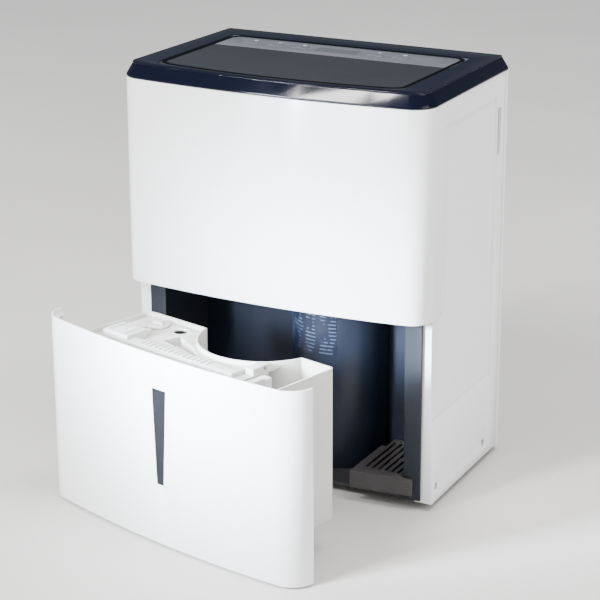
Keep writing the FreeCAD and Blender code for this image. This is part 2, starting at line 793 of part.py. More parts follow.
def make_posts():
    """Slate-coloured corner posts, each with the bay's side wall behind it."""
    low = s.sill_height + FLOOR_PLATE
    tall = s.opening_top - low
    width, wall = float(s.post_width), float(s.wall)
    front, back = -float(s.post_front), float(s.bay_back)
    for name, side in SIDES.items():
        inner = POST_INNER[name]
        shape = [(inner, front), (inner + width, front), (inner + width, front + wall)]
        shape += [(inner + wall, front + wall), (inner + wall, back), (inner, back)]
        body = new_body(f"bay_post_{name}")
        sketch = new_sketch(body, "section", low)
        polygon(sketch, [(side * px, py) for px, py in shape])
        pad(body, sketch, tall)


SPOUT_PLACE, SPOUT_HOLE = (-60.0, -26.0), 6.4


def make_liner():
    """Bay ceiling and back wall in one moulding; the back wall is open behind the hump."""
    wall = float(s.wall)
    back = float(s.bay_back)
    body = new_body("bay_liner")
    roof = new_sketch(body, "ceiling", s.opening_top)
    inset = float(s.side_inset + s.side_wall + s.gap)
    front, left_end, right_end = front_chain(inset, back + wall)
    draw(roof, front + [Part.LineSegment(right_end, left_end)])
    circle(roof, *SPOUT_PLACE, SPOUT_HOLE)
    pad(body, roof, wall)
    back_wall = new_sketch(body, "back_wall", DECK_HIGH)
    left, right = -POST_INNER["left"] - wall, POST_INNER["right"] + wall
    reach = math.sqrt(float(s.hump_radius - s.wall) ** 2 - (back - float(s.hump_y)) ** 2)
    for start, end in ((left, float(s.hump_x) - reach), (float(s.hump_x) + reach, right)):
        polygon(back_wall, [(start, back), (end, back), (end, back + wall), (start, back + wall)])
    pad(body, back_wall, s.opening_top - DECK_HIGH)


def make_hump():
    """Half-round cover that reaches into the bay round the compressor."""
    centre = Vector(float(s.hump_x), float(s.hump_y))
    radius, wall = float(s.hump_radius), float(s.wall)
    back = float(s.bay_back)
    tilt = math.asin((back - centre.y) / radius)
    inner_tilt = math.asin((back - centre.y) / (radius - wall))
    outer_arc = arc(centre, radius, -math.pi - tilt, tilt)
    inner_arc = arc(centre, radius - wall, -math.pi - inner_tilt, inner_tilt)
    ends = [Part.LineSegment(outer_arc.EndPoint, inner_arc.EndPoint)]
    ends.append(Part.LineSegment(inner_arc.StartPoint, outer_arc.StartPoint))
    low = s.sill_height + FLOOR_PLATE
    outline = [outer_arc, inner_arc] + ends
    plate("compressor_cover", outline, low, s.opening_top - low)


def make_label():
    """Paper information label on the hump."""
    centre = Vector(float(s.hump_x), float(s.hump_y))
    radius = float(s.hump_radius)
    start, end = math.radians(-142), math.radians(-72)
    outer_arc = arc(centre, radius + 0.5, start, end)
    inner_arc = arc(centre, radius + 0.05, start, end)
    outline = [outer_arc, inner_arc, Part.LineSegment(outer_arc.EndPoint, inner_arc.EndPoint)]
    outline.append(Part.LineSegment(inner_arc.StartPoint, outer_arc.StartPoint))
    plate("info_label", outline, 150.0, 62.0)


SHELF_PLATE, LIP_INSET = 2.5, 22.5
SHELF_SLOTS, SHELF_SLOT_WIDE, SHELF_SLOT_PITCH = 6, 3.4, 8.0


def make_shelf(name, side):
    """Ledge that the bucket slides on: a slotted top, an inner wall and a curved front lip."""
    low_z = s.shelf_top - SHELF_PLATE
    inner, outer = float(s.shelf_inner), POST_INNER[name] - 0.3
    nose = POST_INNER[name] + 12.5
    post = -float(s.post_front) - 0.3
    back = float(s.bay_back) - 0.3
    body = new_body(f"shelf_{name}")
    front = nose_arc(inner, nose, LIP_INSET)
    step_x, step_y = inner + 6.0, -16.0
    top = new_sketch(body, "top", low_z)
    sides = [Vector(nose, post), Vector(outer, post), Vector(outer, back), Vector(step_x, back)]
    sides += [Vector(step_x, step_y), Vector(inner, step_y)]
    path = [front.EndPoint] + sides + [front.StartPoint]
    lines = [Part.LineSegment(a, b) for a, b in zip(path, path[1:])]
    draw(top, mirrored([front] + lines, side))
    pad(body, top, SHELF_PLATE)

    lip = new_sketch(body, "lip", s.shelf_top - s.shelf_lip)
    lip_back = nose_arc(inner, nose, LIP_INSET + 2.5)
    ends = [Part.LineSegment(front.EndPoint, lip_back.EndPoint)]
    ends.append(Part.LineSegment(lip_back.StartPoint, front.StartPoint))
    draw(lip, mirrored([front, lip_back] + ends, side))
    pad(body, lip, s.shelf_lip - SHELF_PLATE)
    wall = new_sketch(body, "inner_wall", s.sill_height + FLOOR_PLATE)
    points = [(inner, post + 12), (inner + 2.5, post + 12), (inner + 2.5, step_y), (inner, step_y)]
    polygon(wall, [(side * x, y) for x, y in points])
    pad(body, wall, low_z - s.sill_height - FLOOR_PLATE)

    slots = new_sketch(body, "slots", low_z - 1)
    for i in range(SHELF_SLOTS):
        x = inner + 10 + i * SHELF_SLOT_PITCH
        end_x = x + SHELF_SLOT_WIDE
        points = [(x, post + 8), (end_x, post + 8), (end_x, back - 8), (x, back - 8)]
        polygon(slots, [(side * px, py) for px, py in points])
    pocket_up(body, slots, SHELF_PLATE + 2)


def nose_arc(start_x, end_x, inset):
    """Part of the bow, moved in by inset, between two stations to the right of the middle."""
    radius = BOW_RADIUS - inset
    start = math.asin(start_x / radius) - math.pi / 2
    end = math.asin(end_x / radius) - math.pi / 2
    return arc(BOW_CENTRE, radius, start, end)


def mirrored(curves, side):
    """The same curves, or their mirror image across the middle plane."""
    if side > 0:
        return curves
    mirror = FreeCAD.Matrix(-1, 0, 0, 0, 0, 1, 0, 0, 0, 0, 1, 0, 0, 0, 0, 1)
    result = []
    for curve in curves:
        if isinstance(curve, Part.LineSegment):
            ends = [mirror.multVec(curve.StartPoint), mirror.multVec(curve.EndPoint)]
            result.append(Part.LineSegment(*ends))
        else:
            centre = mirror.multVec(curve.Center)
            start, end = math.pi - curve.LastParameter, math.pi - curve.FirstParameter
            result.append(arc(centre, curve.Radius, start, end))
    return result


# ---------------------------------------------------------------- refrigeration and air path


def make_pipe(label, points, bend, radius):
    """Copper tube along straight runs joined by tangent arcs of one bend radius."""
    points = [Vector(*p) for p in points]
    edges = []
    last = points[0]
    for before, corner, after in zip(points, points[1:], points[2:]):
        first_way = (corner - before).normalize()
        second_way = (after - corner).normalize()
        turn = first_way.getAngle(second_way)
        back_off = bend * math.tan(turn / 2)
        start = corner - first_way * back_off
        end = corner + second_way * back_off
        inward = (second_way - first_way).normalize()
        centre = corner + inward * (bend / math.cos(turn / 2))
        middle = centre - inward * bend
        edges.append(Part.LineSegment(last, start).toShape())
        edges.append(Part.Arc(start, middle, end).toShape())
        last = end
    edges.append(Part.LineSegment(last, points[-1]).toShape())
    path = Part.Wire(edges)
    way = (points[1] - points[0]).normalize()
    section = Part.Wire([Part.Circle(points[0], way, radius).toShape()])
    pipe = doc.addObject("Part::Feature", label)
    pipe.Shape = path.makePipeShell([section], True, False)
    return pipe


FIN_COUNT, FIN_THICK, TUBE_ROWS, TUBE_RADIUS = 42, 0.8, 6, 3.5


def make_coil(label, front, depth, columns):
    """Finned heat exchanger: upright fins on rows of tube, with an end plate each side."""
    wide, tall, low = float(s.coil_width), float(s.coil_height), float(s.coil_bottom)
    pitch = wide / (FIN_COUNT - 1)
    parts = []
    for i in range(FIN_COUNT):
        thick = FIN_THICK if 0 < i < FIN_COUNT - 1 else 1.6
        start = -wide / 2 + i * pitch - thick / 2
        parts.append(box(f"{label}_fin{i}", (start, front, low), (thick, depth, tall)))
    row_pitch = tall / TUBE_ROWS
    for column in range(columns):
        y = front + depth * (column + 0.5) / columns
        for row in range(TUBE_ROWS):
            z = low + (row + 0.5) * row_pitch
            foot = (-wide / 2 - 6, y, z)
            name = f"{label}_tube{column}_{row}"
            parts.append(cylinder(name, foot, TUBE_RADIUS, wide + 12, Vector(1, 0, 0)))
        for row in range(TUBE_ROWS - 1):
            side = 1 if row % 2 else -1
            z = low + (row + 0.5) * row_pitch
            end_x = side * (wide / 2 + 5)
            bend = cylinder(f"{label}_bend{column}_{row}", (end_x, y, z), TUBE_RADIUS, row_pitch)
            parts.append(bend)
    keep(fuse(label, parts), label)


def make_drip_tray():
    """Tray under the coils; its spout hangs over the bucket."""
    low, tall, wall = 232.0, 14.0, 2.0
    wide, front, deep = 268.0, 30.0, 78.0
    (spout_x, spout_y), spout_low = SPOUT_PLACE, 219.6
    outer = box("tray_outer", (-wide / 2, front, low), (wide, deep, tall))
    arm = box("tray_arm", (spout_x - 16, spout_y - 12, low), (32, front - spout_y + 14, tall))
    nozzle = cylinder("tray_nozzle", (spout_x, spout_y, spout_low), 6, low - spout_low + 1)
    body = fuse("tray_solid", [outer, arm, nozzle])
    hollow = (wide - 2 * wall, deep - 2 * wall, tall)
    inner = box("tray_inner", (-wide / 2 + wall, front + wall, low + wall), hollow)
    arm_low = (spout_x - 16 + wall, spout_y - 12 + wall, low + wall)
    arm_in = box("tray_arm_hollow", arm_low, (32 - 2 * wall, front - spout_y + 16, tall))
    bore = cylinder("tray_bore", (spout_x, spout_y, spout_low - 1), 4, tall)
    keep(cut("drip_tray", body, [inner, arm_in, bore]), "drip_tray")


FAN_FRONT, FAN_BACK, SCROLL_RADIUS, SCROLL_WALL = -26.0, 46.0, 88.0, 2.0
SHAFT_RADIUS, SHAFT_PLAY = 4.0, 0.06


def make_fan():
    """Centrifugal fan: volute with a duct to the left side, rotor and motor."""
    x, z = float(s.fan_x), float(s.fan_z)
    across = Vector(0, 1, 0)
    depth, wall = FAN_BACK - FAN_FRONT, SCROLL_WALL
    radius = SCROLL_RADIUS
    duct_end = -176.0
    duct_low = OUTLET_LOW - 2.0
    duct_tall = z + radius - duct_low
    drum = cylinder("scroll_drum", (x, FAN_FRONT, z), radius, depth, across)
    duct = box("scroll_duct", (duct_end, FAN_FRONT, duct_low), (x - duct_end, depth, duct_tall))
    solid = fuse("scroll_solid", [drum, duct])
    drum_in = cylinder("scroll_drum_in", (x, FAN_FRONT + wall, z), radius - wall, depth - 2 * wall, across)
    duct_size = (x - duct_end + 5, depth - 2 * wall, duct_tall - 2 * wall)
    duct_in = box("scroll_duct_in", (duct_end - 5, FAN_FRONT + wall, duct_low + wall), duct_size)
    inlet = cylinder("scroll_inlet", (x, FAN_BACK - 5, z), float(s.rotor_radius) - 8, 10, across)
    shaft_hole = cylinder("scroll_shaft_hole", (x, FAN_FRONT - 1, z), 12, 6, across)
    keep(cut("fan_scroll", solid, [drum_in, duct_in, inlet, shaft_hole]), "fan_scroll")

    rotor_front = FAN_FRONT + wall + 8
    length, r = float(s.rotor_length), float(s.rotor_radius)
    parts = [cylinder("rotor_disc", (x, rotor_front, z), r, 2, across)]
    ring = cylinder("rotor_ring_outer", (x, rotor_front + length - 2, z), r, 2, across)
    ring_in = cylinder("rotor_ring_inner", (x, rotor_front + length - 3, z), r - 8, 4, across)
    parts.append(cut("rotor_ring", ring, [ring_in]))
    blades = 30
    for i in range(blades):
        blade = box(f"rotor_blade{i}", (0, 0, 0), (7.0, length, 1.2))
        turn = Rotation(across, i * 360.0 / blades)
        start = turn.multVec(Vector(r - 8.0, 0, 0))
        slant = Rotation(across, i * 360.0 / blades + 25)
        blade.Placement = Placement(Vector(x, rotor_front, z) + start, slant)
        parts.append(blade)
    parts.append(cylinder("rotor_hub", (x, rotor_front, z), 10, 16, across))
    parts.append(cylinder("rotor_shaft", (x, FAN_FRONT - 20, z), SHAFT_RADIUS, 40, across))
    keep(fuse("blower_rotor", parts), "blower_rotor")

    can = cylinder("motor_can", (x, FAN_FRONT - 42, z), 34, 40, across)
    flange = cylinder("motor_flange", (x, FAN_FRONT - 2.5, z), 42, 2.3, across)
    bore = cylinder("motor_bore", (x, FAN_FRONT - 24, z), SHAFT_RADIUS + SHAFT_PLAY, 30, across)
    keep(cut("fan_motor", fuse("motor_solid", [can, flange]), [bore]), "fan_motor")


def make_compressor():
    """Sealed compressor on a foot plate, with its rubber grommets, pipes and run capacitor."""
    x, y = float(s.hump_x), float(s.hump_y) + 8.0
    foot = DECK_HIGH + 8.0
    radius = float(s.compressor_radius)
    body = new_body("compressor")
    profile = new_sketch(body, "profile", 0.0, plane="XZ_Plane")
    shoulder, top = foot + 120.0, foot + 140.0
    crown = 26.0
    dome = Part.Arc(Vector(radius, shoulder), Vector(40, shoulder + 14), Vector(crown, top))
    lines = [(0, foot), (radius, foot), (radius, shoulder)]
    curves = [Part.LineSegment(Vector(*a), Vector(*b)) for a, b in zip(lines, lines[1:])]
    curves += [dome, Part.LineSegment(Vector(crown, top), Vector(0, top))]
    curves.append(Part.LineSegment(Vector(0, top), Vector(0, foot)))
    draw(profile, curves)
    revolve(body, profile, "V_Axis")
    plate_sketch = new_sketch(body, "foot_plate", foot)
    circle(plate_sketch, 0.01, 0.01, 50)
    pad(body, plate_sketch, 3)
    body.Placement.Base = Vector(x, y, 0)

    grommets = []
    for i in range(3):
        angle = math.radians(90 + 120 * i)
        where = (x + 40 * math.cos(angle), y + 40 * math.sin(angle), DECK_HIGH)
        grommets.append(cylinder(f"grommet_{i}", where, 7, 8.0))
    keep(group("compressor_grommets", grommets), "compressor_grommets")

    tube_end = float(s.coil_width) / 2 + 6.2
    row_low = float(s.coil_bottom) + float(s.coil_height) / TUBE_ROWS / 2
    row_high = float(s.coil_bottom + s.coil_height) - float(s.coil_height) / TUBE_ROWS / 2
    suction = [(x + 20, y, top), (x + 20, y, top + 24), (x + 20, 50, top + 24)]
    suction += [(tube_end + 9, 50, top + 24), (tube_end + 9, 50, row_low)]
    suction += [(tube_end + 9, 91, row_low), (tube_end, 91, row_low)]
    discharge = [(x - 20, y, top), (x - 20, y, top + 12), (x - 20, 40, top + 12)]
    discharge += [(tube_end + 18, 40, top + 12), (tube_end + 18, 40, row_high)]
    discharge += [(tube_end + 18, 61.5, row_high), (tube_end, 61.5, row_high)]
    keep(make_pipe("suction_pipe", suction, 8.0, 3.5), "suction_pipe")
    keep(make_pipe("discharge_pipe", discharge, 8.0, 3.0), "discharge_pipe")
    can = cylinder("capacitor", (-110, 60, DECK_HIGH), 18, 80)
    keep(can, "run_capacitor")


def make_filter():
    """Slide-out air filter: a gridded frame that carries the mesh."""
    half = FILTER_HALF - 0.5
    low, tall = FILTER_LOW + 0.5, FILTER_TALL - 1.0
    back = float(s.case_depth) / 2
    front = back - 11.0
    frame = box("filter_slab", (-half, front, low), (2 * half, 10.8, tall))
    hollow = box("filter_hollow", (-half + 7, front - 1, low + 7), (2 * half - 14, 9.0, tall - 14))
    tools = [hollow]
    columns, rows, bar = 4, 9, 3.0
    cell_w = (2 * half - 14 - bar * (columns - 1)) / columns
    cell_h = (tall - 14 - bar * (rows - 1)) / rows
    for i in range(columns):
        for j in range(rows):
            corner = (-half + 7 + i * (cell_w + bar), front - 2, low + 7 + j * (cell_h + bar))
            tools.append(box(f"filter_cell{i}_{j}", corner, (cell_w, 20, cell_h)))
    keep(cut("filter_frame", frame, tools), "filter_frame")
    mesh = box("filter_mesh", (-half + 7.2, front + 1, low + 7.2), (2 * half - 14.4, 1.2, tall - 14.4))
    keep(mesh, "filter_mesh")


def make_outlet_grille():
    """Louvred outlet in the left side, in front of the fan duct."""
    inner = float(s.side_inset + s.side_wall)
    x = -side_x((OUTLET_FRONT + OUTLET_BACK) / 2, inner) - 0.8
    wide, tall = OUTLET_BACK - OUTLET_FRONT - 0.8, OUTLET_TALL - 0.8
    low = (x, OUTLET_FRONT + 0.4, OUTLET_LOW + 0.4)
    frame = box("grille_slab", low, (3.0, wide, tall))
    opening = box("grille_opening", (x - 1, low[1] + 2.5, low[2] + 2.5), (5.0, wide - 5, tall - 5))
    parts = [cut("grille_frame", frame, [opening])]
    vanes = 7
    for i in range(1, vanes):
        z = low[2] + i * tall / vanes
        parts.append(box(f"grille_vane{i}", (x, low[1] + 2, z - 0.8), (3.0, wide - 4, 1.6)))
    keep(fuse("outlet_grille", parts), "outlet_grille")


def make_rear_fittings():
    """Hose nozzle with its plug, and the gland where the mains lead enters."""
    across = Vector(0, 1, 0)
    back = float(s.case_depth) / 2
    tube = cylinder("drain_tube", (DRAIN_X, back - 16, DRAIN_Z), 9, 26, across)
    collar = cylinder("drain_collar", (DRAIN_X, back + 0.1, DRAIN_Z), 14, 1.5, across)
    bore = cylinder("drain_bore", (DRAIN_X, back - 17, DRAIN_Z), 6.5, 30, across)
    keep(cut("drain_port", fuse("drain_solid", [tube, collar]), [bore]), "drain_port")
    stem = cylinder("plug_stem", (DRAIN_X, back, DRAIN_Z), 6.45, 10.2, across)
    head = cylinder("plug_head", (DRAIN_X, back + 10.05, DRAIN_Z), 8.8, 2.5, across)
    keep(fuse("drain_plug", [stem, head]), "drain_plug")
    sleeve = cylinder("gland_sleeve", (CORD_X, back - 10, CORD_Z), 8.7, 12.5, across)
    flange = cylinder("gland_flange", (CORD_X, back + 0.05, CORD_Z), 12, 2.5, across)
    hole = cylinder("gland_bore", (CORD_X, back - 12, CORD_Z), 3.6, 20, across)
    keep(cut("cord_gland", fuse("gland_solid", [sleeve, flange]), [hole]), "cord_gland")


SWITCH_X, SWITCH_Y = 120.0, 2.0


def make_bucket_switch():
    """Switch in the bay's back corner, with a lever that the bucket pushes back."""
    z = 196.0
    half = 10.0
    front, back = SWITCH_Y - 9.0, float(s.bay_back) - 0.1
    block = box("switch_block", (SWITCH_X - half, front + 5, z), (2 * half, back - front - 5, 22))
    ear_size = (2.5, 5.0, 7.0)
    ears = [box(f"switch_ear{i}", (x, front, z + 15), ear_size) for i, x in enumerate((110.0, 127.5))]
    ears += [box(f"switch_web{i}", (x, front + 4, z + 15), (2.5, 3, 7)) for i, x in enumerate((110.0, 127.5))]
    pin = cylinder("switch_pin", (110, front + 2.5, z + 18.5), 1.2, 20, Vector(1, 0, 0))
    keep(fuse("bucket_switch", [block, pin] + ears), "bucket_switch")
    eye = cylinder("lever_eye", (113, front + 2.5, z + 18.5), 2.4, 14, Vector(1, 0, 0))
    arm = box("lever_arm", (116, front + 1.4, z - 8), (8, 1.6, 26))
    bore = cylinder("lever_bore", (112, front + 2.5, z + 18.5), 1.26, 16, Vector(1, 0, 0))
    keep(cut("switch_lever", fuse("lever_solid", [eye, arm]), [bore]), "switch_lever")


def make_screws():
    """The four casing screws that show at the foot of the sides."""
    parts = []
    for name, side in SIDES.items():
        for i, (y, z) in enumerate(SCREW_SPOTS):
            x = side_x(y, float(s.side_inset) + 2.0)
            out = Vector(side, 0, 0)
            parts.append(cylinder(f"screw_{name}{i}", (side * x, y, z), 3.4, 1.8, out))
    keep(group("casing_screws", parts), "casing_screws")


# ---------------------------------------------------------------- bucket

# The bucket's own frame has its origin under the foremost point of its bowed front, with +Y to
# its back. It is placed at the end, drawn out of the bay and turned.

TO_BUCKET = float(s.case_depth) / 2
WINDOW_LOW, WINDOW_HIGH = 72.0, 181.0
WINDOW_TOP_EDGE, WINDOW_LOW_EDGE = (-3.6, 16.8), (0.6, 10.6)
HANDLE_X, HANDLE_Y, HANDLE_Z, HANDLE_BAR_Y, HANDLE_LOW = 80.0, 70.0, 207.6, 39.0, 204.4
EAR_X, EAR_HALF, EAR_RISE = 88.5, 2.0, 3.5
RIGHT_EAR_X, RIGHT_EAR_HALF, RIGHT_EAR_FRONT, RIGHT_EAR_LOW = 89.5, 5.5, 52.0, 190.0
POUR_PLACE, POUR_HOLE = (-92.0, 96.0), 11.3
FLOAT_X, FLOAT_Y, FLOAT_Z, FLOAT_PIN = 102.0, 30.0, 196.0, 1.5
DIVIDER_LEFT, DIVIDER_RIGHT, DIVIDER_BACK = 112.0, 114.0, 50.0
PAN = ((-53.0, 66.0), (8.0, 55.0), (-4.0, 65.5), (-50.0, 89.0))
PAN_LOW, PAN_FLOOR, PAN_SPREAD = 192.0, 1.6, 1.14


def bucket_pose():
    turn = Rotation(UP, float(s.bucket_yaw))
    return Placement(Vector(float(s.bucket_x), float(s.bucket_y), 0), turn)


def window_points(grow):
    """The tapered water window, grown by a margin."""
    (left_top, right_top), (left_low, right_low) = WINDOW_TOP_EDGE, WINDOW_LOW_EDGE
    return [
        (left_low - grow, WINDOW_LOW - grow),
        (right_low + grow, WINDOW_LOW - grow),
        (right_top + grow, WINDOW_HIGH + grow),
        (left_top - grow, WINDOW_HIGH + grow),
    ]


def make_bucket_front():
    """Lower front cover, with the same bow as the upper one, and its window."""
    wall = float(s.wall)
    end_y = FRONT_Y + float(s.bucket_return)
    outline = front_band(0.0, wall, end_y, TO_BUCKET)
    body = plate("bucket_front", outline, s.bucket_bottom, s.bucket_top - s.bucket_bottom)
    for name, low, tall in (("foot_rib", s.bucket_bottom + 1, 2.0), ("top_rib", s.bucket_top - 9, 2.0)):
        rib = new_sketch(body, name, low)
        draw(rib, front_band(wall - 0.1, wall + 3.8, end_y, TO_BUCKET))
        pad(body, rib, tall)
    slot = new_sketch(body, "window_slot", -2.0, plane="XZ_Plane")
    polygon(slot, window_points(0.0))
    extrude(body, "Pocket", slot, 24.0, both=True)
    body.Placement = bucket_pose()

    window = new_body("water_window")
    pane = new_sketch(window, "pane", -0.4, plane="XZ_Plane")
    polygon(pane, window_points(-0.25))
    pad(window, pane, wall, reverse=True)
    back = new_sketch(window, "flange", -(wall + 0.3), plane="XZ_Plane")
    polygon(back, window_points(3.0))
    pad(window, back, 1.2, reverse=True)
    window.Placement = bucket_pose()


def tub_outline(inset):
    """The tub's plan: bowed front, straight sides, two rear lobes and the cut between them."""
    centre = Vector(float(s.cut_x), TO_BUCKET + float(s.hump_y))
    radius = float(s.cut_radius) + inset
    left, right = -float(s.tub_left) + inset, float(s.tub_right) - inset
    back = float(s.tub_back) - inset
    bow_inset = 6.5 + inset
    bow_radius = BOW_RADIUS - bow_inset
    bow_centre = BOW_CENTRE + Vector(0, TO_BUCKET)
    start = math.asin(left / bow_radius) - math.pi / 2
    end = math.asin(right / bow_radius) - math.pi / 2
    bow = arc(bow_centre, bow_radius, start, end)
    reach = math.sqrt(radius**2 - (centre.y - back) ** 2)
    angle = math.asin((back - centre.y) / radius)
    cut_arc = arc(centre, radius, -math.pi - angle, angle)
    left_corner, right_corner = 12.0 - inset, 5.0 - inset
    right_place = Vector(right - right_corner, back - right_corner)
    left_place = Vector(left + left_corner, back - left_corner)
    right_round = arc(right_place, right_corner, 0, math.pi / 2)
    left_round = arc(left_place, left_corner, math.pi / 2, math.pi)
    tips = [Vector(centre.x + reach, back), Vector(centre.x - reach, back)]
    return [
        bow,
        Part.LineSegment(bow.EndPoint, right_round.StartPoint),
        right_round,
        Part.LineSegment(right_round.EndPoint, tips[0]),
        cut_arc,
        Part.LineSegment(tips[1], left_round.StartPoint),
        left_round,
        Part.LineSegment(left_round.EndPoint, bow.StartPoint),
    ]


FOOT_RADIUS, FOOT_TALL, FOOT_PIN, FOOT_PLAY = 12.0, 1.5, 3.0, 0.06


def make_tub():
    """Water tub with a deep keel between the ledges and a socket for its glide foot."""
    wall, floor = float(s.tub_wall), 2.5
    body = new_body("tub")
    outer = new_sketch(body, "outer", s.tub_floor)
    draw(outer, tub_outline(0.0))
    pad(body, outer, s.tub_rim - s.tub_floor)
    keel_front, keel_back = 14.0, 58.0
    half = float(s.keel_half)
    keel = new_sketch(body, "keel", s.keel_bottom)
    polygon(keel, [(-half, keel_front), (half, keel_front), (half, keel_back), (-half, keel_back)])
    pad(body, keel, s.tub_floor - s.keel_bottom)
    inner = new_sketch(body, "inner", s.tub_floor + floor)
    draw(inner, tub_outline(wall))
    pocket_up(body, inner, s.tub_rim)
    deep = new_sketch(body, "keel_inner", s.keel_bottom + floor)
    front, back, side = keel_front + wall, keel_back - wall, half - wall
    polygon(deep, [(-side, front), (side, front), (side, back), (-side, back)])
    pocket_up(body, deep, s.tub_floor)
    boss = new_sketch(body, "foot_boss", s.tub_floor)
    circle(boss, s.foot_x, s.foot_y, 15.0)
    pad(body, boss, 9.0)
    seat = new_sketch(body, "foot_seat", s.tub_floor - 1)
    circle(seat, s.foot_x, s.foot_y, FOOT_RADIUS + s.gap)
    pocket_up(body, seat, 1 + FOOT_TALL + 0.3)
    hole = new_sketch(body, "foot_hole", s.tub_floor - 1)
    circle(hole, s.foot_x, s.foot_y, FOOT_PIN + FOOT_PLAY)
    pocket_up(body, hole, 8.0)
    screen = new_sketch(body, "divider", s.tub_floor + 1)
    a, b, back_y = DIVIDER_LEFT, DIVIDER_RIGHT, DIVIDER_BACK
    polygon(screen, [(a, 13), (b, 13), (b, back_y), (a, back_y)])
    pad(body, screen, s.tub_rim - s.tub_floor - 3)
    axle = new_sketch(body, "float_axle", FLOAT_X - 7.6, plane="YZ_Plane")
    circle(axle, FLOAT_Y, FLOAT_Z, FLOAT_PIN)
    pad(body, axle, DIVIDER_RIGHT - 1.0 - FLOAT_X + 7.6)
    body.Placement = bucket_pose()

    foot = cylinder("foot_disc", (0, 0, 0), FOOT_RADIUS, FOOT_TALL)
    pin = cylinder("foot_pin", (0, 0, FOOT_TALL - 0.5), FOOT_PIN, 5.6)
    glide = keep(fuse("glide_foot", [foot, pin]), "glide_foot")
    place = bucket_pose().multVec(Vector(float(s.foot_x), float(s.foot_y), float(s.tub_floor)))
    glide.Placement = Placement(place, Rotation(UP, float(s.bucket_yaw)))


def make_tub_cover():
    """Lid over the left two thirds of the tub, with a sunken pan that drains into it."""
    centre = Vector(float(s.cut_x), TO_BUCKET + float(s.hump_y))
    inset = float(s.tub_wall) + 0.4
    radius = float(s.cut_radius) + inset
    left = -float(s.tub_left) + inset
    right, back = RIGHT_EAR_X + RIGHT_EAR_HALF + 0.3, float(s.tub_back) - inset
    bow_radius = BOW_RADIUS - 6.5 - inset
    bow_centre = BOW_CENTRE + Vector(0, TO_BUCKET)
    start = math.asin(left / bow_radius) - math.pi / 2
    end = math.asin(right / bow_radius) - math.pi / 2
    bow = arc(bow_centre, bow_radius, start, end)
    angle = math.asin((back - centre.y) / radius)
    right_angle = -math.acos((right - centre.x) / radius)
    cut_arc = arc(centre, radius, -math.pi - angle, right_angle)
    corner = 12.0 - inset
    left_round = arc(Vector(left + corner, back - corner), corner, math.pi / 2, math.pi)
    outline = [
        bow,
        Part.LineSegment(bow.EndPoint, cut_arc.EndPoint),
        cut_arc,
        Part.LineSegment(cut_arc.StartPoint, left_round.StartPoint),
        left_round,
        Part.LineSegment(left_round.EndPoint, bow.StartPoint),
    ]
    body = plate("tub_cover", outline, 202.0, 2.0)
    left_ear = new_sketch(body, "left_ear", 203.0)
    polygon(left_ear, frame_points(-EAR_X, HANDLE_Y, EAR_HALF, 5.0))
    pad(body, left_ear, HANDLE_Z + EAR_RISE - 203.0)
    right_ear = new_sketch(body, "right_ear", RIGHT_EAR_LOW)
    ear_back = HANDLE_Y + 5.0
    middle, half = (RIGHT_EAR_FRONT + ear_back) / 2, (ear_back - RIGHT_EAR_FRONT) / 2
    polygon(right_ear, frame_points(RIGHT_EAR_X, middle, RIGHT_EAR_HALF, half))
    pad(body, right_ear, HANDLE_Z + EAR_RISE - RIGHT_EAR_LOW)
    bores = new_sketch(body, "handle_bores", 0.0, plane="YZ_Plane")
    circle(bores, HANDLE_Y, HANDLE_Z, 2.06)
    extrude(body, "Pocket", bores, 200.0, both=True)
    holes = new_sketch(body, "openings", 200.0)
    circle(holes, *POUR_PLACE, POUR_HOLE)
    circle(holes, SPOUT_PLACE[0], TO_BUCKET + SPOUT_PLACE[1], 8.0)
    pocket_up(body, holes, 6.0)
    pan = new_sketch(body, "pan_shell", PAN_LOW)
    polygon(pan, spread(PAN, PAN_SPREAD))
    pad(body, pan, 10.5)
    hollow = new_sketch(body, "pan_hollow", PAN_LOW + PAN_FLOOR)
    polygon(hollow, PAN)
    pocket_up(body, hollow, 12.0)
    drain = new_sketch(body, "pan_drain", PAN_LOW - 1)
    circle(drain, -36, 72, 4)
    pocket_up(body, drain, 4.0)
    body.Placement = bucket_pose()


def spread(points, factor):
    """A polygon's corners, moved out from their middle."""
    count = len(points)
    x = sum(p[0] for p in points) / count
    y = sum(p[1] for p in points) / count
    return [(x + (a - x) * factor, y + (b - y) * factor) for a, b in points]


